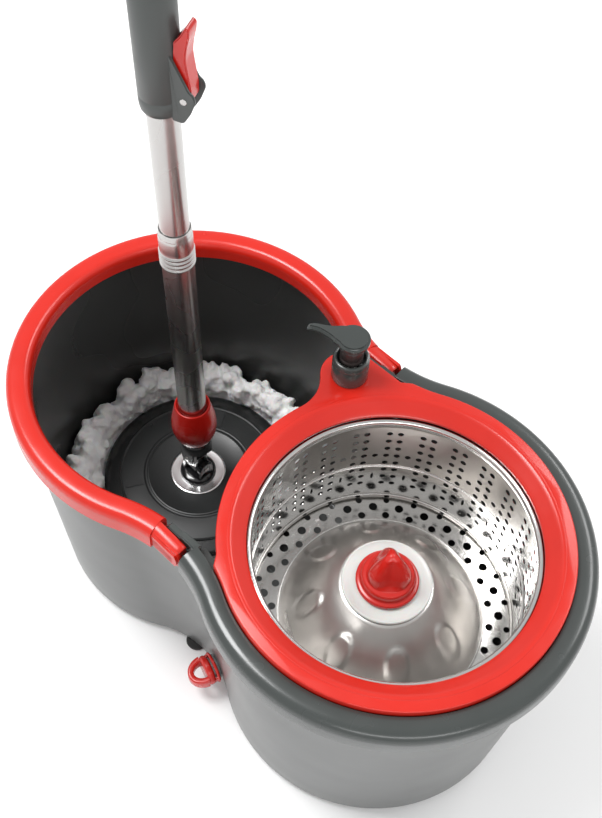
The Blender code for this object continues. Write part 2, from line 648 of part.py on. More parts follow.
def build_basket(steel, white, red, black):
    spin = pivot("basket_axis", (SPIN_X, 0, 0))
    bore_r = 13 * mm
    steps = [k / 4 for k in range(5)]
    bead = arc((BASKET_R + 1 * mm, ROLL_Z), 2.6 * mm, radians(200), radians(-80), 5)
    upper = [(bore_r, DOME_TOP_Z)] + [dome(s) for s in reversed(steps)]
    upper += [(BASKET_R - 3 * mm, BASKET_FLOOR_Z), (BASKET_R, BASKET_FLOOR_Z + 3 * mm),
              (BASKET_R, ROLL_Z - 3 * mm)] + bead
    lower = [(BASKET_R + SHEET, ROLL_Z - 3.6 * mm), (BASKET_R + SHEET, BASKET_FLOOR_Z + 2.7 * mm),
             (BASKET_R - 2.7 * mm, BASKET_FLOOR_Z - SHEET)]
    lower += [dome(s, SHEET) for s in steps] + [(bore_r, DOME_TOP_Z - SHEET)]
    add("basket", lathe(upper + lower, FINE), steel, spin)
    boss_base = DOME_TOP_Z + GAP
    boss = [(10 * mm, boss_base), (BOSS_R - 1 * mm, boss_base), (BOSS_R, boss_base + 1 * mm),
            (BOSS_R, BOSS_Z - 0.8 * mm), (BOSS_R - 0.8 * mm, BOSS_Z), (10 * mm, BOSS_Z)]
    add("basket_boss", lathe(boss, MEDIUM), white, spin)
    foot = BOSS_Z + GAP
    bore = 6 * mm
    cone = [(0, foot + 24 * mm), (bore, foot + 24 * mm), (bore, foot), (CONE_R - 0.6 * mm, foot),
            (CONE_R, foot + 1.2 * mm), (CONE_R - 0.4 * mm, foot + 4 * mm), (CONE_R - 4 * mm, foot + 7 * mm),
            (15.5 * mm, foot + 12 * mm), (13.8 * mm, foot + 20 * mm), (9.5 * mm, foot + 29 * mm),
            (6.2 * mm, foot + 36 * mm), (3.6 * mm, CONE_TIP_Z - 1 * mm), (0, CONE_TIP_Z)]
    add("hub_cone", lathe(cone, MEDIUM, closed=False), red, spin)
    bearing_r = 8 * mm
    hub_top = DOME_TOP_Z - SHEET - GAP
    hub = [(bearing_r + GAP, 104 * mm), (14.5 * mm, 104 * mm), (14.5 * mm, 136 * mm),
           (29 * mm, 149 * mm), (29 * mm, hub_top), (bearing_r + GAP, hub_top)]
    add("basket_hub", lathe(hub, MEDIUM), black, spin)
    return spin


def build_bearing(steel, brass, black, spin):
    def centred(name, profile, segments, look, closed=True, parent=None):
        made = add(name, lathe(profile, segments, closed), look, parent)
        if not parent:
            made.location = (SPIN_X, 0, 0)
        return made

    base = FLOOR_Z + GAP
    socket = SPINDLE_R + GAP
    post = [(0, base), (32 * mm, base), (32 * mm, base + 3 * mm), (24 * mm, base + 6 * mm),
            (13 * mm, base + 50 * mm), (12 * mm, POST_TOP_Z), (socket, POST_TOP_Z),
            (socket, 60 * mm), (0, 60 * mm)]
    centred("floor_post", post, MEDIUM, black, closed=False)
    spindle = [(0, 60.3 * mm), (SPINDLE_R, 60.3 * mm), (SPINDLE_R, SPINDLE_TOP_Z - 1 * mm),
               (SPINDLE_R - 1 * mm, SPINDLE_TOP_Z), (0, SPINDLE_TOP_Z)]
    centred("spindle", spindle, COARSE, steel, closed=False)
    washer = [(socket, POST_TOP_Z + GAP), (11 * mm, POST_TOP_Z + GAP), (11 * mm, 103.4 * mm),
              (socket, 103.4 * mm)]
    centred("thrust_washer", washer, COARSE, brass)
    for word, low in (("lower", 106 * mm), ("upper", 140 * mm)):
        ring = [(socket, low), (8 * mm, low), (8 * mm, low + 7 * mm), (socket, low + 7 * mm)]
        centred(f"{word}_bearing", ring, COARSE, steel, parent=spin)
    clip = [(socket, 156.3 * mm), (7.5 * mm, 156.3 * mm), (7.5 * mm, 157.5 * mm), (socket, 157.5 * mm)]
    centred("spindle_clip", clip, COARSE, steel)


# ---------------------------------------------------------------- soap pump

def build_pump(grey, brown, white, steel):
    def fixed(name, profile, segments, look, closed=True):
        made = add(name, lathe(profile, segments, closed), look)
        made.location = (PUMP_X, PUMP_Y, 0)

    cap_low = DECK_TOP_Z + GAP
    bore = PUMP_BORE_R + 1.2 * mm
    cap = [(bore, 212 * mm), (CAP_PLUG_R, 212 * mm), (CAP_PLUG_R, cap_low), (CAP_R, cap_low),
           (CAP_R, CAP_TOP_Z - 2.5 * mm), (CAP_R - 1.8 * mm, CAP_TOP_Z), (10.2 * mm, CAP_TOP_Z),
           (10 * mm, CAP_RECESS_Z), (bore, CAP_RECESS_Z)]
    fixed("pump_cap", cap, MEDIUM, grey)
    outer = bore - GAP
    cylinder = [(2.7 * mm, 168 * mm), (4 * mm, 168 * mm), (4 * mm, 179 * mm), (outer, 181 * mm),
                (outer, 234 * mm), (PUMP_BORE_R, 234 * mm), (PUMP_BORE_R, 182 * mm),
                (2.7 * mm, 180 * mm)]
    fixed("pump_cylinder", cylinder, COARSE, white)
    ball = [(0, 172.6 * mm)] + [(2.2 * mm * sin(radians(t)), 174.8 * mm - 2.2 * mm * cos(radians(t)))
                                for t in (36, 72, 108, 144)] + [(0, 177 * mm)]
    fixed("check_ball", ball, 10, steel, closed=False)
    fixed("dip_tube", [(1.5 * mm, 142 * mm), (2.3 * mm, 142 * mm), (2.3 * mm, 172 * mm), (1.5 * mm, 172 * mm)],
          12, white)
    shell = 1.2 * mm
    neck_in = CAP_PLUG_R + GAP
    bottle = [(0, BOTTLE_BASE_Z), (BOTTLE_R - 2 * mm, BOTTLE_BASE_Z), (BOTTLE_R, BOTTLE_BASE_Z + 2 * mm),
              (BOTTLE_R, 198 * mm), (neck_in + shell, 206 * mm), (neck_in + shell, 226 * mm),
              (neck_in, 226 * mm), (neck_in, 205.4 * mm), (BOTTLE_R - shell, 197.4 * mm),
              (BOTTLE_R - shell, BOTTLE_BASE_Z + 3 * mm), (0, BOTTLE_BASE_Z + shell)]
    fixed("soap_bottle", bottle, MEDIUM, white, closed=False)

    press = pivot("pump_axis", (PUMP_X, PUMP_Y, 0))
    stem = [(0, 206 * mm), (2.8 * mm, 206 * mm), (2.8 * mm, HEAD_Z - GAP), (0, HEAD_Z - GAP)]
    add("pump_stem", lathe(stem, COARSE, closed=False), white, press)
    piston = [(0, SPRING_TOP_Z + GAP), (4.6 * mm, SPRING_TOP_Z + GAP), (4.6 * mm, 205.6 * mm), (0, 205.6 * mm)]
    add("pump_piston", lathe(piston, COARSE, closed=False), white, press)
    skirt = [(SKIRT_R - 1.4 * mm, SKIRT_BASE_Z), (SKIRT_R, SKIRT_BASE_Z), (SKIRT_R, HEAD_Z - GAP),
             (SKIRT_R - 1.4 * mm, HEAD_Z - GAP)]
    add("pump_skirt", lathe(skirt, MEDIUM), brown, press)
    turns, per_turn = 5, 8
    rise = SPRING_TOP_Z - SPRING_BASE_Z - 1.4 * mm
    helix = [Vector((4.1 * mm * cos(2 * pi * k / per_turn), 4.1 * mm * sin(2 * pi * k / per_turn),
                     SPRING_BASE_Z + 0.7 * mm + rise * k / (turns * per_turn)))
             for k in range(turns * per_turn + 1)]
    add("pump_spring", smooth_loop(helix, 0.4 * mm, 5), steel, press)

    turn = pivot("head_axis", (PUMP_X, PUMP_Y, HEAD_Z), Matrix.Rotation(SPOUT_ANGLE, 4, "Z"), press)
    add("pump_head", head_mesh(), grey, turn)


def head_mesh():
    """The pump's head: a flat drop shape that narrows into a spout, which dips at its tip."""
    half_tip, waist = 2.4 * mm, radians(48)
    outline = arc((0, 0), HEAD_R, waist, 2 * pi - waist, 18)
    side = [(16 * mm, -5.6 * mm), (22 * mm, -3.8 * mm), (28 * mm, -2.9 * mm), (SPOUT_LENGTH, -half_tip)]
    outline += side + [(x, -y) for x, y in reversed(side)]
    bm = prism(outline, 0, HEAD_THICKNESS, round_top=1 * mm)
    for vertex in bm.verts:
        past = max(0.0, vertex.co.x - 24 * mm)
        vertex.co.z -= past * past / (30 * mm)
    return bm


# ---------------------------------------------------------------- mop head

def build_mop_head(yarn_look, black, white, chrome):
    lift = pivot("mop_axis", (MOP_X, MOP_Y, 0))
    low = FLOOR_Z + GAP
    yarn = [(30 * mm, low + 1 * mm), (40 * mm, low), (YARN_R - 8 * mm, low), (YARN_R - 2 * mm, low + 4 * mm),
            (YARN_R, low + 14 * mm), (YARN_R, YARN_TOP_Z - 12 * mm), (YARN_R - 3 * mm, YARN_TOP_Z - 3 * mm),
            (YARN_R - 8 * mm, YARN_TOP_Z), (PLATE_R + 4 * mm, YARN_TOP_Z - 4 * mm),
            (PLATE_R + 1.2 * mm, YARN_TOP_Z - 10 * mm), (PLATE_R + 1.2 * mm, 33 * mm), (30 * mm, 33 * mm)]
    bunch = lathe(yarn, 28)
    outside = [v for v in bunch.verts if hypot(v.co.x, v.co.y) > YARN_R - 10 * mm]
    bmesh.ops.translate(bunch, vec=(*YARN_SHIFT, 0), verts=outside)
    bmesh.ops.triangulate(bunch, faces=bunch.faces)
    strands = add("mop_yarn", bunch, yarn_look, lift)
    side = block((YARN_SIDE_X - MOP_X, -90 * mm, 0), (YARN_R + 15 * mm, 90 * mm, YARN_TOP_Z + 5 * mm))
    combine(strands, add("deck_side", side, None, lift), "DIFFERENCE")
    beside = (PUMP_X - MOP_X, PUMP_Y - MOP_Y)
    corner = bar(YARN_PUMP_R, (*beside, 0), (*beside, YARN_TOP_Z + 5 * mm))
    combine(strands, add("pump_side", corner, None, lift), "DIFFERENCE")
    ring = [(42 * mm, 33.4 * mm), (74 * mm, 33.4 * mm), (74 * mm, PLATE_BASE_Z - GAP),
            (42 * mm, PLATE_BASE_Z - GAP)]
    add("refill_ring", lathe(ring, MEDIUM), white, lift)
    top = PLATE_TOP_Z
    plate = [(6.5 * mm, PLATE_BASE_Z), (PLATE_R - 1.5 * mm, PLATE_BASE_Z), (PLATE_R, PLATE_BASE_Z + 1.2 * mm),
             (PLATE_R, top - 5 * mm), (PLATE_R - 3 * mm, top - 2 * mm), (66 * mm, top - 1.2 * mm),
             (65 * mm, top), (DISC_R + 0.5 * mm, top),
             (DISC_R + 0.5 * mm, top - 1.6 * mm), (6.5 * mm, top - 1.6 * mm)]
    add("mop_plate", lathe(plate, FINE), black, lift)
    disc = [(6.5 * mm, top - 1.3 * mm), (DISC_R, top - 1.3 * mm), (DISC_R, top), (DISC_R - 0.5 * mm, top + 0.4 * mm),
            (6.5 * mm, top + 0.4 * mm)]
    add("plate_disc", lathe(disc, MEDIUM), chrome, lift)

    flange = [(0, PLATE_BASE_Z + 1 * mm), (6 * mm, PLATE_BASE_Z + 1 * mm), (6 * mm, top + 0.8 * mm),
              (15 * mm, top + 0.8 * mm), (15 * mm, top + 3 * mm), (13 * mm, top + 4 * mm),
              (0, top + 4 * mm)]
    base = add("joint_base", lathe(flange, MEDIUM, closed=False), black, lift)
    for side in (-1, 1):
        lug = lug_mesh("X", side, LOWER_PIVOT_Z, top + 3.5 * mm)
        combine(base, add(f"base_lug_{side + 1}", lug, None, lift), "UNION")
    hole = bar(JOINT_PIN_R + GAP, (-20 * mm, 0, LOWER_PIVOT_Z), (20 * mm, 0, LOWER_PIVOT_Z))
    combine(base, add("base_pin_hole", hole, None, lift), "DIFFERENCE")
    add("lower_joint_pin", bar(JOINT_PIN_R, (-LUG_OUTER - 0.5 * mm, 0, LOWER_PIVOT_Z),
                               (LUG_OUTER + 0.5 * mm, 0, LOWER_PIVOT_Z)), chrome, lift)
    return lift


def lug_mesh(axis, side, pivot_z, root_z):
    """One ear of a clevis: round about the pin and straight down, or up, to its root."""
    radius = EYE_R + 0.3 * mm
    down = root_z < pivot_z
    if down:
        outline = [(-radius, root_z), (radius, root_z)] + arc((0, pivot_z), radius, 0, pi, 8)
    else:
        outline = [(radius, root_z), (-radius, root_z)] + arc((0, pivot_z), radius, pi, 2 * pi, 8)
    low, high = sorted((side * LUG_INNER, side * LUG_OUTER))
    across = Matrix(((0, 0, 1, 0), (1, 0, 0, 0), (0, 1, 0, 0), (0, 0, 0, 1)))
    frame = across if axis == "X" else Matrix.Rotation(pi / 2, 4, "Z") @ across
    return slab(outline, low, high, frame)


def eye_mesh(axis, pivot_z, towards):
    """One eye of the knuckle, with a neck that runs towards the other."""
    if towards > pivot_z:
        outline = [(EYE_R, towards), (-EYE_R, towards)] + arc((0, pivot_z), EYE_R, pi, 2 * pi, 8)
    else:
        outline = [(-EYE_R, towards), (EYE_R, towards)] + arc((0, pivot_z), EYE_R, 0, pi, 8)
    across = Matrix(((0, 0, 1, 0), (1, 0, 0, 0), (0, 1, 0, 0), (0, 0, 0, 1)))
    frame = across if axis == "X" else Matrix.Rotation(pi / 2, 4, "Z") @ across
    return slab(outline, -EYE_HALF, EYE_HALF, frame)


def build_knuckle(black, chrome):
    """The block between the joint's two crossed pins."""
    centre = pivot("knuckle_axis", (MOP_X, MOP_Y, 0))
    middle = (LOWER_PIVOT_Z + UPPER_PIVOT_Z) / 2
    knuckle = add("joint_knuckle", eye_mesh("X", LOWER_PIVOT_Z, middle + 0.3 * mm), black, centre)
    combine(knuckle, add("upper_eye", eye_mesh("Y", UPPER_PIVOT_Z, middle - 0.3 * mm), None, centre), "UNION")
    reach = 20 * mm
    for word, height, axis in (("lower", LOWER_PIVOT_Z, (reach, 0, 0)), ("upper", UPPER_PIVOT_Z, (0, reach, 0))):
        end = Vector(axis)
        lift = Vector((0, 0, height))
        hole = bar(JOINT_PIN_R + GAP, lift - end, lift + end)
        combine(knuckle, add(f"{word}_eye_hole", hole, None, centre), "DIFFERENCE")
    lift = Vector((0, 0, UPPER_PIVOT_Z))
    end = Vector((0, LUG_OUTER + 0.5 * mm, 0))
    add("upper_joint_pin", bar(JOINT_PIN_R, lift - end, lift + end), chrome, centre)


# ---------------------------------------------------------------- pole

def tube(name, radius, low, high, look, parent):
    profile = [(radius - TUBE_WALL, low), (radius, low), (radius, high), (radius - TUBE_WALL, high)]
    return add(name, lathe(profile, MEDIUM), look, parent)


def build_lower_pole(axis, black, red, chrome, white, brass):
    fork_body = [(0, 10 * mm), (12 * mm, 10 * mm), (13 * mm, 12 * mm), (13 * mm, FORK_TOP),
                 (10 * mm, FORK_TOP), (10 * mm, FORK_TOP + 20 * mm), (0, FORK_TOP + 20 * mm)]
    fork = add("joint_fork", lathe(fork_body, MEDIUM, closed=False), black, axis)
    for side in (-1, 1):
        combine(fork, add(f"fork_lug_{side + 1}", lug_mesh("Y", side, 0, 12 * mm), None, axis), "UNION")
    hole = bar(JOINT_PIN_R + GAP, (0, -20 * mm, 0), (0, 20 * mm, 0))
    combine(fork, add("fork_pin_hole", hole, None, axis), "DIFFERENCE")

    inside = LOWER_TUBE_R + GAP
    low = FORK_TOP + GAP
    barrel = [(inside, low), (13.4 * mm, low), (15.6 * mm, 29 * mm), (17.5 * mm, 35 * mm),
              (18.2 * mm, 42 * mm), (17.8 * mm, 50 * mm), (16.4 * mm, 59 * mm), (14.6 * mm, SOCKET_TOP - 2 * mm),
              (14 * mm, SOCKET_TOP), (12.2 * mm, SOCKET_TOP - 0.8 * mm), (inside, SOCKET_TOP - 3 * mm)]
    add("pole_socket", lathe(barrel, MEDIUM), red, axis)
    tube("lower_tube", LOWER_TUBE_R, FORK_TOP + GAP, FERRULE_TOP - 5 * mm, chrome, axis)
    ferrule = [(inside, FERRULE_BASE), (FERRULE_R, FERRULE_BASE)]
    for k in range(3):
        ring = FERRULE_BASE + (2.5 + 4 * k) * mm
        ferrule += [(FERRULE_R, ring), (FERRULE_R + 0.5 * mm, ring + 1 * mm), (FERRULE_R, ring + 2.4 * mm)]
    ferrule += [(FERRULE_R, FERRULE_TOP - 8 * mm), (MIDDLE_TUBE_R + 0.9 * mm, FERRULE_TOP),
                (MIDDLE_TUBE_R + GAP, FERRULE_TOP), (MIDDLE_TUBE_R + GAP, FERRULE_TOP - 4.6 * mm),
                (inside, FERRULE_TOP - 4.6 * mm)]
    add("ferrule", lathe(ferrule, MEDIUM), chrome, axis)
    joiner_out = MIDDLE_TUBE_R - TUBE_WALL - GAP
    joiner = [(6 * mm, FERRULE_TOP - 20 * mm), (joiner_out, FERRULE_TOP - 20 * mm),
              (joiner_out, FERRULE_TOP + 16 * mm), (6 * mm, FERRULE_TOP + 16 * mm)]
    add("tube_joiner", lathe(joiner, COARSE), white, axis)
    tube("middle_tube", MIDDLE_TUBE_R, FERRULE_TOP - 4 * mm, MIDDLE_TUBE_TOP, chrome, axis)
    nut_low, nut_high = MIDDLE_TUBE_TOP - 22 * mm, MIDDLE_TUBE_TOP - 1 * mm
    nut = [(4.4 * mm, nut_low), (joiner_out, nut_low), (joiner_out, nut_high), (4.4 * mm, nut_high)]
    add("drive_nut", lathe(nut, COARSE), brass, axis)


def build_upper_pole(axis, grey, red, chrome, white, steel):
    bush_low, bush_high = MIDDLE_TUBE_TOP + 0.6 * mm, MIDDLE_TUBE_TOP + 9 * mm
    inside = UPPER_TUBE_R - TUBE_WALL - GAP
    bush = [(5 * mm, bush_low), (inside, bush_low), (inside, bush_high), (5 * mm, bush_high)]
    add("guide_bush", lathe(bush, COARSE), white, axis)

    tube("upper_tube", UPPER_TUBE_R, UPPER_TUBE_BASE, UPPER_TUBE_TOP, chrome, axis)
    anchor_low, anchor_high = ROD_TOP - 14 * mm, ROD_TOP + 8 * mm
    socket = 4.2 * mm
    anchor = [(0, ROD_TOP + GAP), (socket, ROD_TOP + GAP), (socket, anchor_low), (inside, anchor_low),
              (inside, anchor_high), (0, anchor_high)]
    add("rod_anchor", lathe(anchor, COARSE, closed=False), white, axis)
    add("drive_rod", rod_mesh(), steel, axis)

    body_low = LOCK_BASE
    bore, seat = MIDDLE_TUBE_R + GAP, UPPER_TUBE_R + GAP
    shell = [(bore, body_low), (LOCK_R - 2.4 * mm, body_low), (LOCK_R - 1 * mm, body_low + 2.2 * mm),
             (LOCK_R, body_low + 6 * mm), (LOCK_R, LOCK_TOP - 3 * mm), (LOCK_R - 1 * mm, LOCK_TOP),
             (seat, LOCK_TOP), (seat, UPPER_TUBE_BASE - GAP), (bore, UPPER_TUBE_BASE - GAP)]
    lock = add("lock_body", lathe(shell, MEDIUM), grey, axis)
    frame = Matrix.Rotation(LOCK_ANGLE, 4, "Z") @ Matrix.Rotation(pi / 2, 4, "X")
    ear = [(9.6 * mm, 413 * mm), (9.6 * mm, 368.2 * mm), (15.8 * mm, 367.6 * mm), (21 * mm, 375.5 * mm),
           (24.4 * mm, 385 * mm), (23.4 * mm, 389.5 * mm), (21.4 * mm, 391.2 * mm)]
    for side in (-1, 1):
        low, high = sorted((side * 6.2 * mm, side * 8.2 * mm))
        combine(lock, add(f"lock_ear_{side + 1}", slab(ear, low, high, frame), None, axis), "UNION")
    pin_at = Matrix.Rotation(LOCK_ANGLE, 4, "Z") @ Vector((LEVER_PIN_REACH, 0, LEVER_PIN_Z))
    across = Matrix.Rotation(LOCK_ANGLE, 4, "Z") @ Vector((0, 1, 0))
    hole = bar(2.2 * mm + GAP, pin_at - across * 15 * mm, pin_at + across * 15 * mm)
    combine(lock, add("lock_pin_hole", hole, None, axis), "DIFFERENCE")
    add("lock_pin", bar(2.2 * mm, pin_at - across * 8.7 * mm, pin_at + across * 8.7 * mm), chrome, axis)

    grip = [(seat, GRIP_BASE), (GRIP_R - 2 * mm, GRIP_BASE), (GRIP_R - 0.6 * mm, GRIP_BASE + 3 * mm)]
    steps = 4
    for k in range(steps + 1):
        share = k / steps
        bulge = 0.8 * mm * sin(pi * share)
        grip.append((GRIP_R - 1 * mm + bulge, GRIP_BASE + 6 * mm + (GRIP_TOP - GRIP_BASE - 10 * mm) * share))
    grip += [(GRIP_R - 2 * mm, GRIP_TOP), (seat, GRIP_TOP)]
    add("grip", lathe(grip, MEDIUM), grey, axis)
    top = GRIP_TOP + GAP
    plug_r, plug_low = UPPER_TUBE_R - TUBE_WALL - GAP, UPPER_TUBE_TOP - 14 * mm
    cap = [(0, plug_low), (plug_r, plug_low), (plug_r, top), (GRIP_R - 1.2 * mm, top),
           (GRIP_R, top + 2 * mm), (GRIP_R, top + 8 * mm), (GRIP_R - 3 * mm, top + 14 * mm),
           (GRIP_R - 8 * mm, top + 17 * mm), (0, top + 18 * mm)]
    end_cap = add("end_cap", lathe(cap, MEDIUM, closed=False), red, axis)
    half, eye = 9 * mm, LOOP_TOP - 9 * mm
    tab = [(-half, top + 8 * mm), (half, top + 8 * mm)] + arc((0, eye), half, 0, pi, 12)
    upright = Matrix.Rotation(pi / 2, 4, "X")
    combine(end_cap, add("hang_tab", slab(tab, -3 * mm, 3 * mm, upright), None, axis), "UNION")
    hang_hole = bar(5 * mm, (0, -10 * mm, eye - 2 * mm), (0, 10 * mm, eye - 2 * mm), 20)
    combine(end_cap, add("hang_hole", hang_hole, None, axis), "DIFFERENCE")

    lever_axis = pivot("lever_axis", axis.matrix_world @ pin_at,
                       axis.matrix_world.to_3x3().to_4x4() @ Matrix.Rotation(LOCK_ANGLE, 4, "Z"), axis)
    outline = [(22.9, 430.6), (20.7, 432.6), (17.2, 426.2), (12.9, 421), (11.9, 415.5), (11.7, 409),
               (12.4, 402), (14.6, 394.5)]
    lever = [(x * mm - LEVER_PIN_REACH, z * mm - LEVER_PIN_Z) for x, z in outline]
    lever += arc((0, 0), 3.9 * mm, radians(160), radians(360), 8)
    lever += [(x * mm - LEVER_PIN_REACH, z * mm - LEVER_PIN_Z)
              for x, z in ((21.6, 391), (20.8, 398), (20, 405), (19.5, 411), (20.6, 418.5), (22.4, 425.5))]
    sideways = Matrix.Rotation(pi / 2, 4, "X")
    made = add("lock_lever", slab(lever, -5.9 * mm, 5.9 * mm, sideways), red, lever_axis)
    bore = bar(2.2 * mm + GAP, (0, -10 * mm, 0), (0, 10 * mm, 0))
    combine(made, add("lever_bore", bore, None, lever_axis), "DIFFERENCE")
    hollow = bar(LOCK_R + GAP, (-LEVER_PIN_REACH, 0, 6 * mm), (-LEVER_PIN_REACH, 0, 45 * mm), FINE)
    combine(made, add("lever_hollow", hollow, None, lever_axis), "DIFFERENCE")


def rod_mesh():
    """A flat bar twisted into a steep screw."""
    bm = bmesh.new()
    steps = round((ROD_TOP - ROD_BASE) / ROD_LEAD * 8)
    corners = [(ROD_WIDTH / 2, ROD_THICKNESS / 2), (-ROD_WIDTH / 2, ROD_THICKNESS / 2),
               (-ROD_WIDTH / 2, -ROD_THICKNESS / 2), (ROD_WIDTH / 2, -ROD_THICKNESS / 2)]
    loops = []
    for k in range(steps + 1):
        height = ROD_BASE + (ROD_TOP - ROD_BASE) * k / steps
        angle = 2 * pi * height / ROD_LEAD
        loops.append([bm.verts.new((x * cos(angle) - y * sin(angle), x * sin(angle) + y * cos(angle), height))
                      for x, y in corners])
    skin(bm, loops, closed=False)
    return bm


def main():
    clear_scene()
    red = finish("red_plastic", (0.82, 0.03, 0.02), 0.32)
    dark_grey = finish("dark_grey_plastic", (0.095, 0.105, 0.1), 0.38)
    shell_grey = finish("bucket_grey_plastic", (0.2, 0.2, 0.2), 0.45)
    black = finish("black_plastic", (0.02, 0.02, 0.02), 0.35)
    brown = finish("pump_skirt_plastic", (0.06, 0.04, 0.04), 0.4)
    white = finish("white_plastic", (0.75, 0.75, 0.73), 0.4)
    rubber = finish("foot_rubber", (0.03, 0.03, 0.03), 0.8)
    seal = finish("seal_rubber", (0.05, 0.05, 0.05), 0.8)
    steel = finish("steel", (0.6, 0.6, 0.6), 0.25, 1.0)
    chrome = finish("chrome", (0.8, 0.8, 0.8), 0.08, 1.0)
    brass = finish("brass", (0.7, 0.55, 0.25), 0.3, 1.0)
    yarn = finish("yarn", (0.7, 0.7, 0.68), 0.95)

    build_bucket(shell_grey)
    build_feet(rubber)
    build_collar(dark_grey)
    build_handle(red)
    build_hinge_pins(chrome)
    build_deck(red)
    build_drain(shell_grey, red, seal)
    spin = build_basket(steel, white, red, black)
    build_bearing(steel, brass, black, spin)
    build_pump(dark_grey, brown, white, steel)
    build_mop_head(yarn, black, white, chrome)
    build_knuckle(black, chrome)
    lean = Matrix.Rotation(POLE_LEAN, 4, "Y")
    axis = pivot("pole_axis", (MOP_X, MOP_Y, UPPER_PIVOT_Z), lean)
    build_lower_pole(axis, black, red, chrome, white, brass)
    build_upper_pole(axis, dark_grey, red, chrome, white, steel)


main()
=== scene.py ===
"""Finished look of the spin mop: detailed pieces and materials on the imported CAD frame.

Lengths are in millimetres, and add() turns them into metres. Only materials, modifiers and
the studio are given in metres.
"""
import random
from math import acos, atan2, cos, hypot, inf, pi, radians, sin, sqrt

import bmesh
import bpy
from mathutils import Matrix, Vector, noise


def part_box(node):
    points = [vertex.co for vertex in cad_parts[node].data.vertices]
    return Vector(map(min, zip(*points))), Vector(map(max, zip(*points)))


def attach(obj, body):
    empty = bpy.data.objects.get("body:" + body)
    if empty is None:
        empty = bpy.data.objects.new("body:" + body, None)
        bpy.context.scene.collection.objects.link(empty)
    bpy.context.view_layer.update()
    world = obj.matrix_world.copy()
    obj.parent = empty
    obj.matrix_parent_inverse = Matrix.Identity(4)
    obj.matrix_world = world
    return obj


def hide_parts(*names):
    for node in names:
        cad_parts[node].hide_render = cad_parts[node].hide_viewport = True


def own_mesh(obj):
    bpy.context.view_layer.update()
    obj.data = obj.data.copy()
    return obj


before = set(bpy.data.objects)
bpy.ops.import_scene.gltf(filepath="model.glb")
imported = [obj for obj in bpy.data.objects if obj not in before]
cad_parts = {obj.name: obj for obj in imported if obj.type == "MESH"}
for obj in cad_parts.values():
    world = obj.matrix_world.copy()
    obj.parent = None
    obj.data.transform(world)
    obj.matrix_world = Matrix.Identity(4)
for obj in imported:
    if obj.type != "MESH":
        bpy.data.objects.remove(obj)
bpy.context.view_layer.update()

mm = 0.001
GAP = 0.3

# Sizes shared with the CAD model
WASH_X, SPIN_X = -101.5, 99.0
RIM_R_WASH, RIM_R_SPIN, RIM_FILLET = 133.4, 135.9, 100
TOP_R_WASH, TOP_R_SPIN, TOP_FILLET = 126.5, 129.0, 107
BASE_R_WASH, BASE_R_SPIN, BASE_FILLET = 115, 117.5, 76
BASE_Z, FLOOR_Z, WALL_TOP_Z, WALL = 3.5, 6.5, 219, 2.6
HINGE_X, HINGE_Z = -6, 211.5
COLLAR_TOP_Z, BAND_TOP_Z, BAND_SKIRT_Z = 224, 222, 202.5
COLLAR_END_X, BAND_END_X = 8.6, -19.2
DECK_BASE_Z, DECK_TOP_Z, DECK_INSET = 214.8, 229, 16.5
BASKET_HOLE_R, BASKET_WELL_R = 99.3, 108.6
PUMP_X, PUMP_Y, HEAD_Z, SPOUT_ANGLE = -12, 72.5, 267.5, 203
BASKET_R, SHEET, ROLL_Z = 97.6, 0.45, 215.4
BASKET_FLOOR_Z, DOME_TOP_Z = 108, 156.5
DOME_FOOT_R, DOME_TOP_R = 76, 33
BOSS_Z, CONE_TIP_Z = 160, 201
MOP_X, MOP_Y, POLE_LEAN = -111.5, 8, -1.28
PLATE_TOP_Z, LOWER_PIVOT_Z, UPPER_PIVOT_Z = 49, 64, 80
LOCK_ANGLE, LOCK_R, LEVER_PIN_REACH, LEVER_PIN_Z = 24, 13.4, 17.6, 384
DRAIN_X, DRAIN_Z = 20, 25
LUG_Y, TAB_Y, TAB_TOP_Y = (95.2, 100.2), (106.6, 112), 100.6
YARN_R, YARN_SHIFT, YARN_TOP_Z = 109.5, (4, -6), 76
YARN_SIDE_X, YARN_PUMP_R = -29, 35.6
TUCKED_ANGLE, TUCKED_SHARE = radians(-32), 0.55   # where the strands lie under the plate, out of sight


def spun(degrees, axis="Z"):
    return Matrix.Rotation(radians(degrees), 4, axis)


def shift(x, y, z=0):
    """Where a finished piece goes."""
    return Matrix.Translation(Vector((x, y, z)) * mm)


POLE = shift(MOP_X, MOP_Y, UPPER_PIVOT_Z) @ spun(POLE_LEAN, "Y")
MOP = shift(MOP_X, MOP_Y)
SPIN = shift(SPIN_X, 0)
PUMP = shift(PUMP_X, PUMP_Y)
FACING_X = Matrix(((0, 0, 1, 0), (1, 0, 0, 0), (0, 1, 0, 0), (0, 0, 0, 1)))
FACING = {"X": FACING_X, "Y": spun(90) @ FACING_X}


# ---- materials

def add_node(tree, kind, inputs=(), **settings):
    """A new node. An input is given a value or another node's output."""
    made = tree.nodes.new("ShaderNode" + kind)
    for key, value in settings.items():
        setattr(made, key, value)
    for slot, value in dict(inputs).items():
        if isinstance(value, bpy.types.NodeSocket):
            tree.links.new(value, made.inputs[slot])
        else:
            made.inputs[slot].default_value = value
    return made


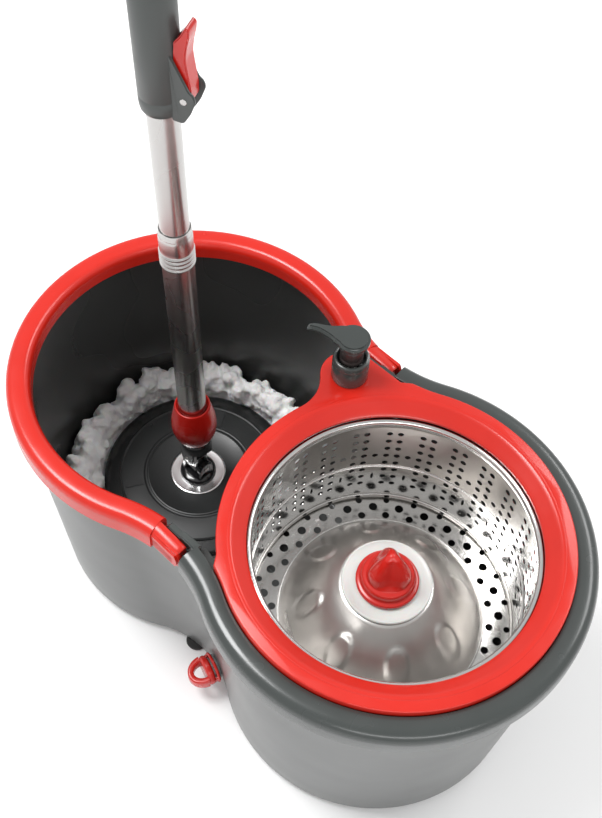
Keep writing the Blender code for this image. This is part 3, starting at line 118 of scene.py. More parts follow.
class Surface:
    """A Principled material, with helpers that vary its colour, gloss and relief."""

    def __init__(self, name, colour, roughness, metallic=0.0):
        self.material = bpy.data.materials.new(name)
        self.material.use_nodes = True
        self.tree = self.material.node_tree
        self.shader = self.tree.nodes["Principled BSDF"]
        self.colour, self.roughness = colour, roughness
        self.set(Base_Color=(*colour, 1), Roughness=roughness, Metallic=metallic)
        self.coordinates = add_node(self.tree, "TexCoord").outputs["Object"]

    def set(self, **values):
        for name, value in values.items():
            self.shader.inputs[name.replace("_", " ")].default_value = value
        return self

    def join(self, source, slot):
        self.tree.links.new(source, self.shader.inputs[slot])
        return self

    def noise(self, scale, detail=3.0, along=0):
        """Plain noise, or noise drawn out round a lathe's axis where along is given."""
        vector = self.turned(along) if along else self.coordinates
        inputs = {"Scale": scale, "Detail": detail, "Vector": vector}
        return add_node(self.tree, "TexNoise", inputs).outputs["Fac"]

    def mapped(self, value, low, high):
        """A noise value, whose extremes are rare, spread from low to high."""
        inputs = {"Value": value, "From Min": 0.12, "From Max": 0.88, "To Min": low, "To Max": high}
        return add_node(self.tree, "MapRange", inputs).outputs["Result"]

    def turned(self, along):
        """Coordinates that change quickly across a lathe's lines and slowly along them."""
        split = add_node(self.tree, "SeparateXYZ", {"Vector": self.coordinates}).outputs
        flat = add_node(self.tree, "CombineXYZ", {"X": split["X"], "Y": split["Y"]})
        radius = add_node(self.tree, "VectorMath", {0: flat.outputs[0]}, operation="LENGTH")
        angle = add_node(self.tree, "Math", {0: split["Y"], 1: split["X"]}, operation="ARCTAN2")
        slow = add_node(self.tree, "Math", {0: angle.outputs[0], 1: along}, operation="MULTIPLY")
        inputs = {"X": radius.outputs["Value"], "Y": slow.outputs[0], "Z": split["Z"]}
        return add_node(self.tree, "CombineXYZ", inputs).outputs["Vector"]

    def mottle(self, amount, scale):
        """Lighter and darker patches."""
        dark = [c * (1 - amount) for c in self.colour]
        light = [min(1.0, c * (1 + amount) + amount * 0.02) for c in self.colour]
        inputs = {"A": (*dark, 1), "B": (*light, 1), "Factor": self.mapped(self.noise(scale), 0, 1)}
        mix = add_node(self.tree, "Mix", inputs, data_type="RGBA")
        return self.join(mix.outputs["Result"], "Base Color")

    def gloss(self, spread, scale, along=0):
        low, high = max(0.02, self.roughness - spread), min(1.0, self.roughness + spread)
        return self.join(self.mapped(self.noise(scale, 1, along), low, high), "Roughness")

    def relief(self, scale, strength, depth, along=0, detail=2.0):
        inputs = {"Strength": strength, "Distance": depth, "Height": self.noise(scale, detail, along)}
        below = self.shader.inputs["Normal"].links
        if below:
            inputs["Normal"] = below[0].from_socket
        return self.join(add_node(self.tree, "Bump", inputs).outputs["Normal"], "Normal")


def moulded(name, colour, roughness, grain=0.06, coat=0.0):
    """Moulded plastic: faint flow patches, uneven gloss and a very fine skin."""
    made = Surface(name, colour, roughness).mottle(0.07, 22).gloss(0.05, 60)
    made.relief(900, grain, 0.03 * mm).relief(16, 0.2, 0.8 * mm)
    return made.set(IOR=1.5, Coat_Weight=coat, Coat_Roughness=0.08)


SURFACES = {
    "red": moulded("red_gloss", (0.54, 0.015, 0.007), 0.24),
    "red_deep": moulded("red_moulded", (0.52, 0.011, 0.006), 0.26, coat=0.15),
    "grey": moulded("rim_grey", (0.041, 0.047, 0.045), 0.25, coat=0.15),
    "lock_grey": moulded("lock_grey", (0.062, 0.068, 0.066), 0.4),
    "neck": moulded("neck_grey", (0.2, 0.21, 0.21), 0.4),
    "black": moulded("black_gloss", (0.012, 0.012, 0.013), 0.16, grain=0.05, coat=0.5),
    "plate": moulded("plate_black", (0.022, 0.0235, 0.0235), 0.38, grain=0.2),
    "plate_rim": moulded("plate_rim", (0.014, 0.015, 0.015), 0.22, grain=0.1, coat=0.2),
    "brown": moulded("skirt_plastic", (0.035, 0.028, 0.027), 0.35),
    "white": moulded("white_plastic", (0.78, 0.78, 0.76), 0.4),
    "shell": Surface("bucket_outside", (0.082, 0.085, 0.084), 0.3).mottle(0.05, 5).gloss(0.04, 14)
    .relief(9, 0.6, 2.5 * mm).relief(30, 0.25, 0.4 * mm),
    # Inside of the bucket: the outside's grey plastic, painted much darker as painted shade for the shadowed
    # inside of the bucket.
    "inside": Surface("bucket_inside_painted_shade", (0.03, 0.031, 0.03), 0.28).mottle(0.08, 8).gloss(0.05, 10)
    .relief(7, 0.6, 2 * mm).relief(25, 0.2, 0.3 * mm),
    "boss": Surface("boss_plastic", (0.6, 0.61, 0.59), 0.34).mottle(0.04, 40).gloss(0.05, 90)
    .relief(900, 0.1, 0.05 * mm, 0.004).set(Subsurface_Weight=0.2, Subsurface_Scale=0.004),
    "rubber": Surface("rubber", (0.022, 0.022, 0.022), 0.82).mottle(0.25, 70).gloss(0.1, 200)
    .relief(1800, 0.5, 0.1 * mm),
    "satin": Surface("dome_steel", (0.64, 0.62, 0.6), 0.3, 1.0).mottle(0.06, 30).gloss(0.05, 60, 0.01)
    .relief(24, 0.45, 1.5 * mm),
    "steel": Surface("basket_steel", (0.66, 0.65, 0.635), 0.15, 1.0).mottle(0.06, 18)
    .gloss(0.07, 700, 0.0015).relief(1500, 0.14, 0.03 * mm, 0.0015).relief(38, 0.1, 0.3 * mm)
    .set(Anisotropic=0.3),
    "bright": Surface("turned_steel", (0.62, 0.62, 0.62), 0.24, 1.0).mottle(0.08, 60)
    .gloss(0.08, 900, 0.002).relief(1800, 0.2, 0.03 * mm, 0.002),
    "chrome": Surface("chrome_tube", (0.5, 0.49, 0.48), 0.27, 1.0).mottle(0.05, 12).gloss(0.04, 25),
    "mirror": Surface("plate_chrome", (0.96, 0.96, 0.96), 0.24, 1.0).mottle(0.02, 60).gloss(0.03, 200),
    "brass": Surface("brass", (0.72, 0.53, 0.22), 0.28, 1.0).mottle(0.1, 80).gloss(0.1, 500, 0.002),
    "yarn": Surface("mop_yarn", (0.93, 0.93, 0.92), 0.95).mottle(0.05, 120)
    .relief(900, 0.9, 0.7 * mm, detail=4).relief(260, 0.8, 1.2 * mm)
    .set(Sheen_Weight=0.5, Sheen_Roughness=0.4, Subsurface_Weight=0.15, Subsurface_Scale=0.003),
    "bottle": Surface("bottle_plastic", (0.7, 0.71, 0.7), 0.3).mottle(0.05, 30).gloss(0.06, 80)
    .set(Subsurface_Weight=0.15, Subsurface_Scale=0.003),
    "floor": Surface("paper_floor", (0.9, 0.9, 0.9), 0.9).mottle(0.01, 3)}
LOOKS = {name: surface.material for name, surface in SURFACES.items()}


# ---- mesh helpers

def arc(centre, radius, start, end, steps):
    angles = [start + (end - start) * k / steps for k in range(steps + 1)]
    return [(centre[0] + radius * cos(a), centre[1] + radius * sin(a)) for a in angles]


def above(base, points):
    """Profile points whose heights are counted from a base."""
    return [(r, base + z) for r, z in points]


def corner(before, here, after, radius, steps):
    """The points that round one corner of an outline."""
    b, h, a = Vector(before), Vector(here), Vector(after)
    reach = min(radius, (b - h).length * 0.45, (a - h).length * 0.45)
    start, end = h + (b - h).normalized() * reach, h + (a - h).normalized() * reach
    shares = [s / steps for s in range(steps + 1)]
    return [tuple((1 - t)**2 * start + 2 * t * (1 - t) * h + t * t * end) for t in shares]


def rounded(points, radius):
    """A closed outline with its corners rounded."""
    threes = zip(points[-1:] + points[:-1], points, points[1:] + points[:1])
    return [point for three in threes for point in corner(*three, radius, 3)]


def eased(profile, radius, steps=3):
    """A lathe profile with its corners rounded, its ends kept."""
    threes = zip(profile, profile[1:], profile[2:])
    between = [point for three in threes for point in corner(*three, radius, steps)]
    return [profile[0]] + between + [profile[-1]]


def ring(bm, points):
    return [bm.verts.new(point) for point in points]


def band(bm, loops):
    """Faces between closed loops of as many vertices each."""
    for low, high in zip(loops, loops[1:]):
        for i in range(len(low)):
            j = (i + 1) % len(low)
            bm.faces.new((low[i], low[j], high[j], high[i]))


def skin(bm, loops):
    """A band with a cap at each end."""
    band(bm, loops)
    bm.faces.new(reversed(loops[0]))
    bm.faces.new(loops[-1])
    return bm


def lathe(profile, segments=96, shape=None):
    """Turn (radius, height) points about Z. A profile that starts off the axis is a closed ring.

    shape(angle, radius, height) may change the radius.
    """
    bm = bmesh.new()
    rings = []
    for radius, height in profile:
        if radius == 0:
            rings.append(ring(bm, [(0, 0, height)]))
            continue
        angles = [2 * pi * k / segments for k in range(segments)]
        reach = [shape(a, radius, height) if shape else radius for a in angles]
        rings.append(ring(bm, [(r * cos(a), r * sin(a), height) for r, a in zip(reach, angles)]))
    pairs = list(zip(rings, rings[1:]))
    if profile[0][0] > 0:
        pairs.append((rings[-1], rings[0]))
    for low, high in pairs:
        for i in range(segments):
            j = (i + 1) % segments
            corners = [low[i % len(low)], low[j % len(low)], high[j % len(high)], high[i % len(high)]]
            bm.faces.new(list(dict.fromkeys(corners)))
    return bm


def prism(outline, low, high):
    bm = bmesh.new()
    base = bm.faces.new(ring(bm, [(x, y, low) for x, y in outline]))
    raised = bmesh.ops.extrude_face_region(bm, geom=[base])["geom"]
    top = [v for v in raised if isinstance(v, bmesh.types.BMVert)]
    bmesh.ops.translate(bm, vec=(0, 0, high - low), verts=top)
    return bm


def block(low, high):
    bm = bmesh.new()
    bmesh.ops.create_cube(bm, size=1.0)
    low, high = Vector(low), Vector(high)
    bmesh.ops.scale(bm, vec=high - low, verts=bm.verts)
    bmesh.ops.translate(bm, vec=(low + high) / 2, verts=bm.verts)
    return bm


def soften(bm, offset, segments=3):
    """Round the sharp edges."""
    sharp = [e for e in bm.edges if e.calc_face_angle() > radians(60)]
    bmesh.ops.bevel(bm, geom=sharp, offset=offset, segments=segments, affect="EDGES")
    return bm


def moved(bm, matrix):
    bmesh.ops.transform(bm, matrix=matrix, verts=bm.verts)
    return bm


def bar(radius, start, end, segments=40, edge=0.0):
    start, end = Vector(start), Vector(end)
    length = (end - start).length
    profile = [(0, 0), (radius, 0), (radius, length), (0, length)]
    if edge:
        profile = eased(profile, edge)
    turn = (end - start).to_track_quat("Z", "Y").to_matrix().to_4x4()
    return moved(lathe(profile, segments), Matrix.Translation(start) @ turn)


def wire(path, radii, sides=8):
    """A round wire along a path, with a radius for each point."""
    bm = bmesh.new()
    loops = []
    frame_x = None
    for k, (point, radius) in enumerate(zip(path, radii)):
        ahead = path[min(k + 1, len(path) - 1)]
        behind = path[max(k - 1, 0)]
        along = (ahead - behind).normalized()
        if frame_x is None:
            frame_x = along.orthogonal().normalized()
        frame_x = (frame_x - along * frame_x.dot(along)).normalized()
        frame_y = along.cross(frame_x)
        angles = [2 * pi * s / sides for s in range(sides)]
        loops.append(ring(bm, [point + frame_x * (radius * cos(a)) + frame_y * (radius * sin(a))
                               for a in angles]))
    return skin(bm, loops)


def merged(*parts):
    """Several bmeshes as one."""
    whole = bmesh.new()
    for part in parts:
        mesh = bpy.data.meshes.new("part")
        bmesh.ops.recalc_face_normals(part, faces=part.faces)
        part.to_mesh(mesh)
        part.free()
        whole.from_mesh(mesh)
        bpy.data.meshes.remove(mesh)
    return whole


def shade(mesh, degrees=35):
    """Smooth shading, except over edges sharper than this."""
    mesh.shade_smooth()
    mesh.set_sharp_from_angle(angle=radians(degrees))


def add(name, bm, look=None, fix_normals=True):
    """An object in metres from a bmesh in millimetres."""
    if fix_normals:
        bmesh.ops.recalc_face_normals(bm, faces=bm.faces)
    bmesh.ops.scale(bm, vec=(mm, mm, mm), verts=bm.verts)
    mesh = bpy.data.meshes.new(name)
    bm.to_mesh(mesh)
    bm.free()
    shade(mesh)
    made = bpy.data.objects.new(name, mesh)
    bpy.context.scene.collection.objects.link(made)
    if look:
        mesh.materials.append(LOOKS[look])
    return made


def settle(obj):
    """Apply the object's modifiers to its mesh."""
    bpy.context.view_layer.update()
    graph = bpy.context.evaluated_depsgraph_get()
    mesh = bpy.data.meshes.new_from_object(obj.evaluated_get(graph))
    old = obj.data
    obj.modifiers.clear()
    obj.data = mesh
    bpy.data.meshes.remove(old)


def carve(obj, tool):
    """Cut a bmesh away from the object."""
    cutter = add("tool", tool)
    step = obj.modifiers.new("Carve", "BOOLEAN")
    step.operation = "DIFFERENCE"
    step.solver = "EXACT"
    step.object = cutter
    settle(obj)
    bpy.data.objects.remove(cutter)


def ease_edges(obj, width):
    """Round the object's sharp edges and smooth its shading."""
    step = obj.modifiers.new("Bevel", "BEVEL")
    step.width = width * mm
    step.segments = 3
    step.limit_method = "ANGLE"
    step.angle_limit = radians(50)
    step.miter_outer = "MITER_ARC"
    settle(obj)
    shade(obj.data)


def place_on(obj, body, node, matrix=None):
    """Put a finished piece on its CAD body, in place of this CAD node."""
    if matrix is not None:
        obj.matrix_world = matrix
    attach(obj, body)
    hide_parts(node)
    return obj


def piece(name, bm, look, body, node, matrix=None):
    """A finished piece straight from a bmesh, in its look's own slot."""
    return place_on(add(name, bm, look), body, node, matrix)


# ---- bucket plan

def plan(wash, spin, fillet, steps):
    """Two lobes joined by fillets, as stations: (arc's centre, radius, side of the arc, angle)."""
    reach = SPIN_X - WASH_X
    from_wash, from_spin = wash + fillet, spin + fillet
    along = (from_wash**2 - from_spin**2 + reach**2) / (2 * reach)
    fx, fy = WASH_X + along, sqrt(from_wash**2 - along**2)
    to_spin = atan2(-fy, SPIN_X - fx)
    to_wash = atan2(-fy, WASH_X - fx)
    spin_end, wash_end = to_spin + pi, to_wash + pi
    runs = [((SPIN_X, 0), spin, 1, -spin_end, spin_end, steps[0]),
            ((fx, fy), fillet, -1, to_spin, to_wash, steps[1]),
            ((WASH_X, 0), wash, 1, wash_end, 2 * pi - wash_end, steps[0]),
            ((fx, -fy), fillet, -1, -to_wash, -to_spin, steps[1])]
    return [(centre, radius, side, start + (end - start) * k / count)
            for centre, radius, side, start, end, count in runs for k in range(count)]


def spot(station, offset=0.0):
    """A station's point, moved outward by the offset."""
    (x, y), radius, side, angle = station
    grown = radius + side * offset
    return x + grown * cos(angle), y + grown * sin(angle)


STEPS = (112, 32)
RIM = plan(RIM_R_WASH, RIM_R_SPIN, RIM_FILLET, STEPS)
FILLET_X, FILLET_Y = RIM[STEPS[0]][0]


def fillet_station(x, side):
    angle = acos((x - FILLET_X) / RIM_FILLET)
    return (FILLET_X, side * FILLET_Y), RIM_FILLET, -1, -side * angle


def rim_between(lobe, low_x=-inf, high_x=inf):
    """The rim's stations in this range, running round the lobe."""
    count = len(RIM)
    start = 0 if lobe == "wash" else count // 2
    order = [(k + start) % count for k in range(count)]
    return [RIM[k] for k in order if low_x < spot(RIM[k])[0] < high_x]


def strip(stations, profile):
    """Sweep a profile of (offset, height) points along stations."""
    bm = bmesh.new()
    loops = [ring(bm, [(*spot(station, offset), z) for offset, z in profile]) for station in stations]
    return skin(bm, loops)


# ---- bucket

def plan_at(height, steps):
    """The bucket's outside at a height, between its base and its top."""
    share = (height - BASE_Z) / (WALL_TOP_Z - BASE_Z)
    return plan(BASE_R_WASH + (TOP_R_WASH - BASE_R_WASH) * share,
                BASE_R_SPIN + (TOP_R_SPIN - BASE_R_SPIN) * share,
                BASE_FILLET + (TOP_FILLET - BASE_FILLET) * share, steps)


def drain_axis():
    centre, radius = plan_at(DRAIN_Z, (4, 4))[-1][:2]
    angle = acos((DRAIN_X - centre[0]) / radius)
    wall = Vector((centre[0] + radius * cos(angle), centre[1] + radius * sin(angle), DRAIN_Z))
    return wall, Vector((-cos(angle), -sin(angle), 0))


def build_bucket():
    bm = bmesh.new()

    def level(height, inward):
        return ring(bm, [(*spot(station, -inward), height) for station in plan_at(height, STEPS)])

    edge = 5
    turn = [radians(15 * k) for k in range(7)]
    outside = [level(BASE_Z + edge * (1 - cos(t)), edge * (1 - sin(t))) for t in turn]
    outside += [level(z, 0) for z in (30, 60, 90, 120, 150, 175, 195, 197)]
    outside += [level(z, -bulge) for z, bulge in ((197.8, 0.9), (199, 1.5), (201, 1.6), (219, 1.6))]
    inside = [level(z, WALL) for z in (219, 190, 150, 110, 70, 30)]
    inside += [level(FLOOR_Z + edge * (1 - cos(t)), WALL + edge * (1 - sin(t))) for t in reversed(turn)]
    shell = add("bucket_body", skin(bm, outside + inside), "shell")
    # Second slot: the darker copy of the plastic that paints the shade inside the bucket.
    shell.data.materials.append(LOOKS["inside"])
    wall, out = drain_axis()
    carve(shell, bar(8.3, wall - out * 12, wall + out * 8))
    for side in (1, -1):
        low_y, high_y = sorted((side * 85, side * 130))
        carve(shell, block((-24.5, low_y, 201.8), (13, high_y, WALL_TOP_Z + 5)))
    # Faces on the inside of the bucket, and facing up above its floor, take the second slot with its painted
    # shade.
    for face in shell.data.polygons:
        x, y, z = face.center / mm
        outward = Vector((x - (SPIN_X if x > 0 else WASH_X), y, 0)).dot(face.normal)
        if abs(x) < 70:
            outward = y * face.normal.y
        if (z > FLOOR_Z - 1 and outward < 0) or (z > FLOOR_Z - 0.5 and face.normal.z > 0.3):
            face.material_index = 1
    shade(shell.data)
    place_on(shell, "bucket", "bucket_shell")


def build_feet():
    reach = 95 * cos(radians(45))
    spots = [(-15, 85), (-15, -85), (WASH_X - reach, reach), (WASH_X - reach, -reach),
             (SPIN_X + reach, reach), (SPIN_X + reach, -reach)]
    profile = [(0, 0.5), (4, 0.5), (5, 0), (8, 0), (9, 1), (8.7, 3.2), (0, 3.2)]
    for number, (x, y) in enumerate(spots, start=1):
        foot = lathe(eased(profile, 0.5), 48)
        piece(f"rubber_foot_{number}", foot, "rubber", "bucket", f"foot_{number}", shift(x, y))


def hinge_slab(side, reach, across, end_r, way):
    """A lug or tab of the handle's hinge, with a round end about its axis."""
    half = 8.5
    middle, spread = 0 if way > 0 else pi, pi / 2 - acos(half / end_r)
    outline = [(HINGE_X + reach, HINGE_Z + way * half), (HINGE_X + reach, HINGE_Z - way * half)]
    outline += arc((HINGE_X, HINGE_Z), end_r, middle - spread, middle + spread, 20)
    low, high = sorted((-side * across[0], -side * across[1]))
    return moved(prism(outline, low, high), spun(90, "X"))


def build_collar():
    top = COLLAR_TOP_Z
    profile = above(top, [
        (0, -19), (0, -9), (-0.25, -6.6), (-0.9, -4.6), (-1.9, -3), (-3.2, -1.7), (-4.8, -0.8),
        (-6.6, -0.25), (-8.4, 0), (-14.9, 0), (-15.7, -0.3), (-16, -1.1), (-16, -9.5), (-22, -9.5),
        (-22, -12.1), (-13.4, -12.1), (-13.4, -2.6), (-2.6, -2.6), (-2.6, -19)])
    stations = ([fillet_station(COLLAR_END_X, -1)] + rim_between("spin", low_x=COLLAR_END_X + 1)
                + [fillet_station(COLLAR_END_X, 1)])
    parts = [strip(stations, profile)]
    for side in (1, -1):
        low_y, high_y = sorted((side * 94.5, side * LUG_Y[1]))
        wide = block((HINGE_X + 2, low_y, HINGE_Z - 7.8), (COLLAR_END_X + 3.5, high_y, top - 1.4))
        parts += [soften(wide, 0.9), soften(hinge_slab(side, 6, LUG_Y, 12.5, -1), 0.8)]
    piece("collar", merged(*parts), "grey", "bucket", "rim_collar")


def tab_crown(side):
    """The rounded top of a tab, which carries the band's crown on over the hinge."""
    bm = bmesh.new()
    loops = []
    for x, height, inset in ((-21.5, 221.7, 0), (-14, 221.2, 0), (-6, 220.6, 0), (1, 220, 0),
                             (3.4, 219.7, 0.3), (4.2, 219, 1)):
        inner, outer = TAB_TOP_Y + inset, TAB_Y[1] - inset
        section = [(outer, 206)] + above(height, [(outer, -6), (outer - 1.2, -2.6), (108.2, -0.7), (105, 0),
                                                  (102.4, -0.1), (101.2, -0.8), (inner, -2.2)])
        section += [(inner, 212.4), (TAB_Y[0], 212.4), (TAB_Y[0], 206)]
        loops.append(ring(bm, [(x, side * y, z) for y, z in section]))
    return skin(bm, loops)


def build_handle():
    top, low, width = BAND_TOP_Z, BAND_SKIRT_Z, 18
    crown = [(0, low), (-0.1, top - 8)]
    crown += [(-9 + 9 * cos(t) ** 0.62, top - 8 + 8 * sin(t) ** 0.9)
              for t in [radians(a) for a in range(10, 90, 8)]]
    crown += [(-9, top)]
    mirrored = [(-width - x, z) for x, z in reversed(crown[1:-1])]
    inner = [(-width, low + 4), (-15.5, low + 4)]
    inner += above(top, [(-15.5, -7), (-12, -2.5), (-6, -2.5), (-2.5, -7)])
    stations = ([fillet_station(BAND_END_X, 1)] + rim_between("wash", high_x=BAND_END_X - 1)
                + [fillet_station(BAND_END_X, -1)])
    parts = [strip(stations, crown + mirrored + inner + [(-2.5, low)])]
    for side in (1, -1):
        tab = hinge_slab(side, BAND_END_X - HINGE_X - 1.5, TAB_Y, 13.3, 1)
        parts += [soften(tab, 1.8, 4), tab_crown(side)]
    piece("handle_band", merged(*parts), "red", "handle", "carry_handle")
    for side, word in ((1, "far"), (-1, "near")):
        pin = bar(2.6, (HINGE_X, side * 96, HINGE_Z), (HINGE_X, side * 109, HINGE_Z), 32, 0.4)
        piece(f"hinge_pin_{word}", pin, "chrome", "bucket", f"handle_pin_{word}")


def deck_outline():
    """Round the spin lobe inside the rim, out round the pump's platform and back along the basket."""
    stations = [fillet_station(25, -1)] + rim_between("spin", low_x=28) + [fillet_station(21, 1)]
    edge = [spot(station, -DECK_INSET) for station in stations] + [(18.5, PUMP_Y + 21.6)]
    ring_r = RIM_R_SPIN - DECK_INSET
    pump, spin = Vector((PUMP_X, PUMP_Y)), Vector((SPIN_X, 0))
    platform, fillet = 21, 30
    apart = (spin - pump).length
    to_pump, to_spin = platform + fillet, ring_r + fillet
    along = (to_pump**2 - to_spin**2 + apart**2) / (2 * apart)
    across = sqrt(to_pump**2 - along**2)
    toward = (spin - pump) / apart
    middle = pump + toward * along + Vector((toward.y, -toward.x)) * across
    from_pump = atan2(pump.y - middle.y, pump.x - middle.x)
    from_spin = atan2(spin.y - middle.y, spin.x - middle.x)
    edge += arc(pump, platform, pi / 2, from_pump + pi, 28)
    edge += arc(middle, fillet, from_pump, from_spin, 14)[1:]
    notch = pi + acos((SPIN_X - 25) / ring_r)
    edge += arc(spin, ring_r, from_spin + pi, notch, 48)[1:]
    return edge


def shrink(outline, distance):
    """The outline, moved inward."""
    made = []
    for k, point in enumerate(outline):
        here = Vector(point)
        before = (here - Vector(outline[k - 1])).normalized()
        after = (Vector(outline[(k + 1) % len(outline)]) - here).normalized()
        inward = Vector((-before.y - after.y, before.x + after.x)).normalized()
        lean = max(0.5, inward.dot(Vector((-after.y, after.x))))
        made.append(tuple(here + inward * distance / lean))
    return made


def build_deck():
    outline = deck_outline()
    deck = add("deck_cover", prism(outline, DECK_BASE_Z, DECK_TOP_Z), "red")
    carve(deck, prism(shrink(outline, 2.5), DECK_BASE_Z - 5, DECK_TOP_Z - 2.5))
    below, over = 200, 240
    well = lathe([(0, below), (BASKET_WELL_R, below), (BASKET_WELL_R, over), (0, over)], 150)
    carve(deck, moved(well, Matrix.Translation((SPIN_X, 0, 0))))
    carve(deck, bar(9.5, (PUMP_X, PUMP_Y, below), (PUMP_X, PUMP_Y, over), 48))
    ease_edges(deck, 1.1)
    slope = [(BASKET_HOLE_R, 219.3), (BASKET_HOLE_R, 221.2), (100, 222), (102, 223.4), (107.2, 227.6),
             (109, 228.9), (110.4, 229.5), (111.8, 229.3), (112.4, 228.7), (112.4, 226), (107, 224.6),
             (103, 220.6), (101, 219.2)]
    lip = add("deck_lip", lathe(slope, 180), "red")
    place_on(deck, "bucket", "deck")
    place_on(lip, "bucket", "deck", SPIN)


# ---- drain

def pull_ring():
    """A bowed strap to pull the plug by, narrower at its middle."""
    bm = bmesh.new()
    steps = 24
    bow = [Vector((9.2 * cos(pi * k / steps), 0, 12.2 + 11 * sin(pi * k / steps))) for k in range(steps + 1)]
    across = Vector((0, 1, 0))
    section = rounded([(-2.4, -6), (2.4, -6), (2.4, 6), (-2.4, 6)], 1.6)
    rings = []
    for k, point in enumerate(bow):
        outward = (bow[min(k + 1, steps)] - bow[max(k - 1, 0)]).normalized().cross(across)
        narrow = 1 - 0.2 * sin(pi * k / steps)
        rings.append(ring(bm, [point + outward * u + across * (v * narrow) for u, v in section]))
    return skin(bm, rings)


def build_drain():
    wall, out = drain_axis()
    axis = shift(*wall) @ out.to_track_quat("Z", "Y").to_matrix().to_4x4()
    neck = [(5.5, -7), (8, -7), (8, 1.6), (10, 1.6), (10, 3), (8, 3), (8, 10), (5.5, 10)]
    body = lathe(eased(neck, 0.3, 2), 48)
    piece("neck", body, "neck", "bucket", "drain_neck", axis)
    cup = [(0, 10.5), (8.3, 10.5), (8.3, 7), (10.8, 7), (12, 8.2), (12, 11), (10.5, 12.5), (0, 12.9)]
    strap = [(8.3, 3.3), (12, 3.3), (12.6, 3.9), (12.6, 4.9), (12, 5.5), (8.3, 5.5)]
    parts = [lathe(eased(cup, 0.5), 56), lathe(strap, 56)]
    parts += [soften(block((x - 1, -2.6, 4), (x + 1, 2.6, 9)), 0.4, 2) for x in (-10.4, 10.4)]
    parts.append(pull_ring())
    piece("plug_with_ring", merged(*parts), "red_deep", "plug", "drain_plug", axis)


# ---- basket

def dome(step):
    radius = DOME_FOOT_R + (DOME_TOP_R - DOME_FOOT_R) * step
    rise = 0.6 * step + 0.4 * sin(pi / 2 * step) if step > 0.08 else 1.18 * step
    return radius, BASKET_FLOOR_Z + (DOME_TOP_Z - BASKET_FLOOR_Z) * min(1, rise)


def dimple(a, r):
    """How far the dome is raised here by its ring of eight oval dimples."""
    eighth = pi / 4
    near = (a / eighth + 0.35) % 1 - 0.5
    spread = (near * eighth * r / 9.5)**2 + ((r - 56) / 11.5)**2
    return 1.9 * min(1, 2.6 * (1 - spread))**2 if DOME_TOP_R < r < 72 and spread < 1 else 0


def tile(bm, shape, u0, u1, v0, v1, across, up, hole=None):
    """A rectangle in (u, v), mapped by shape, with an optional (u, v, half u, half v) oval hole."""
    border = [(u0 + (u1 - u0) * k / across, v0) for k in range(across)]
    border += [(u1, v0 + (v1 - v0) * k / up) for k in range(up)]
    border += [(u1 - (u1 - u0) * k / across, v1) for k in range(across)]
    border += [(u0, v1 - (v1 - v0) * k / up) for k in range(up)]
    outer = ring(bm, [shape(u, v) for u, v in border])
    if hole is None:
        bm.faces.new(outer)
        return
    cu, cv, hu, hv = hole
    count = len(border)
    angles = [-3 * pi / 4 + 2 * pi * k / count for k in range(count)]
    inner = ring(bm, [shape(cu + hu * cos(a), cv + hv * sin(a)) for a in angles])
    band(bm, [outer, inner])


def perforated_wall(bm):
    """25 pairs of hole columns round the wall, with a hole and a slot between the pairs."""
    def on_wall(u, v):
        return BASKET_R * cos(u), BASKET_R * sin(u), v

    pitch, half, hole_r = radians(14.4), radians(2.35), 2.3
    rows = [BASKET_FLOOR_Z + 3.4] + list(range(115, 215, 10))
    for sector in range(25):
        middle = radians(87.5) + pitch * sector
        columns = [(middle - 2 * half, middle, middle - half), (middle, middle + 2 * half, middle + half),
                   (middle + 2 * half, middle + pitch - 2 * half, middle + pitch / 2)]
        for index, (u0, u1, cu) in enumerate(columns):
            for v0, v1 in zip(rows, rows[1:]):
                cv = (v0 + v1) / 2
                hole = None
                if (index < 2 and cv > 125) or (index == 2 and cv == 170):
                    hole = (cu, cv, hole_r / BASKET_R, hole_r)
                elif index == 2 and cv == 140:
                    hole = (cu, cv, 1.1 / BASKET_R, 4)
                tile(bm, on_wall, u0, u1, v0, v1, 3, 3, hole)


def perforated_floor(bm):
    """Three rings of 27 holes, the middle one staggered."""
    def on_floor(u, v):
        return v * cos(u), v * sin(u), BASKET_FLOOR_Z

    step = radians(360 / 27)
    for low, high, centre, radius, stagger in ((77.2, 84.6, 81, 2.9, 0), (84.6, 91.6, 88.1, 3.4, 0.5),
                                               (91.6, 96.6, 94.1, 2.4, 0)):
        for k in range(27):
            u0 = radians(89.3) + (k - 0.5 + stagger) * step
            hole = (u0 + step / 2, centre, radius / centre, radius)
            tile(bm, on_floor, u0, u0 + step, low, high, 4, 2, hole)


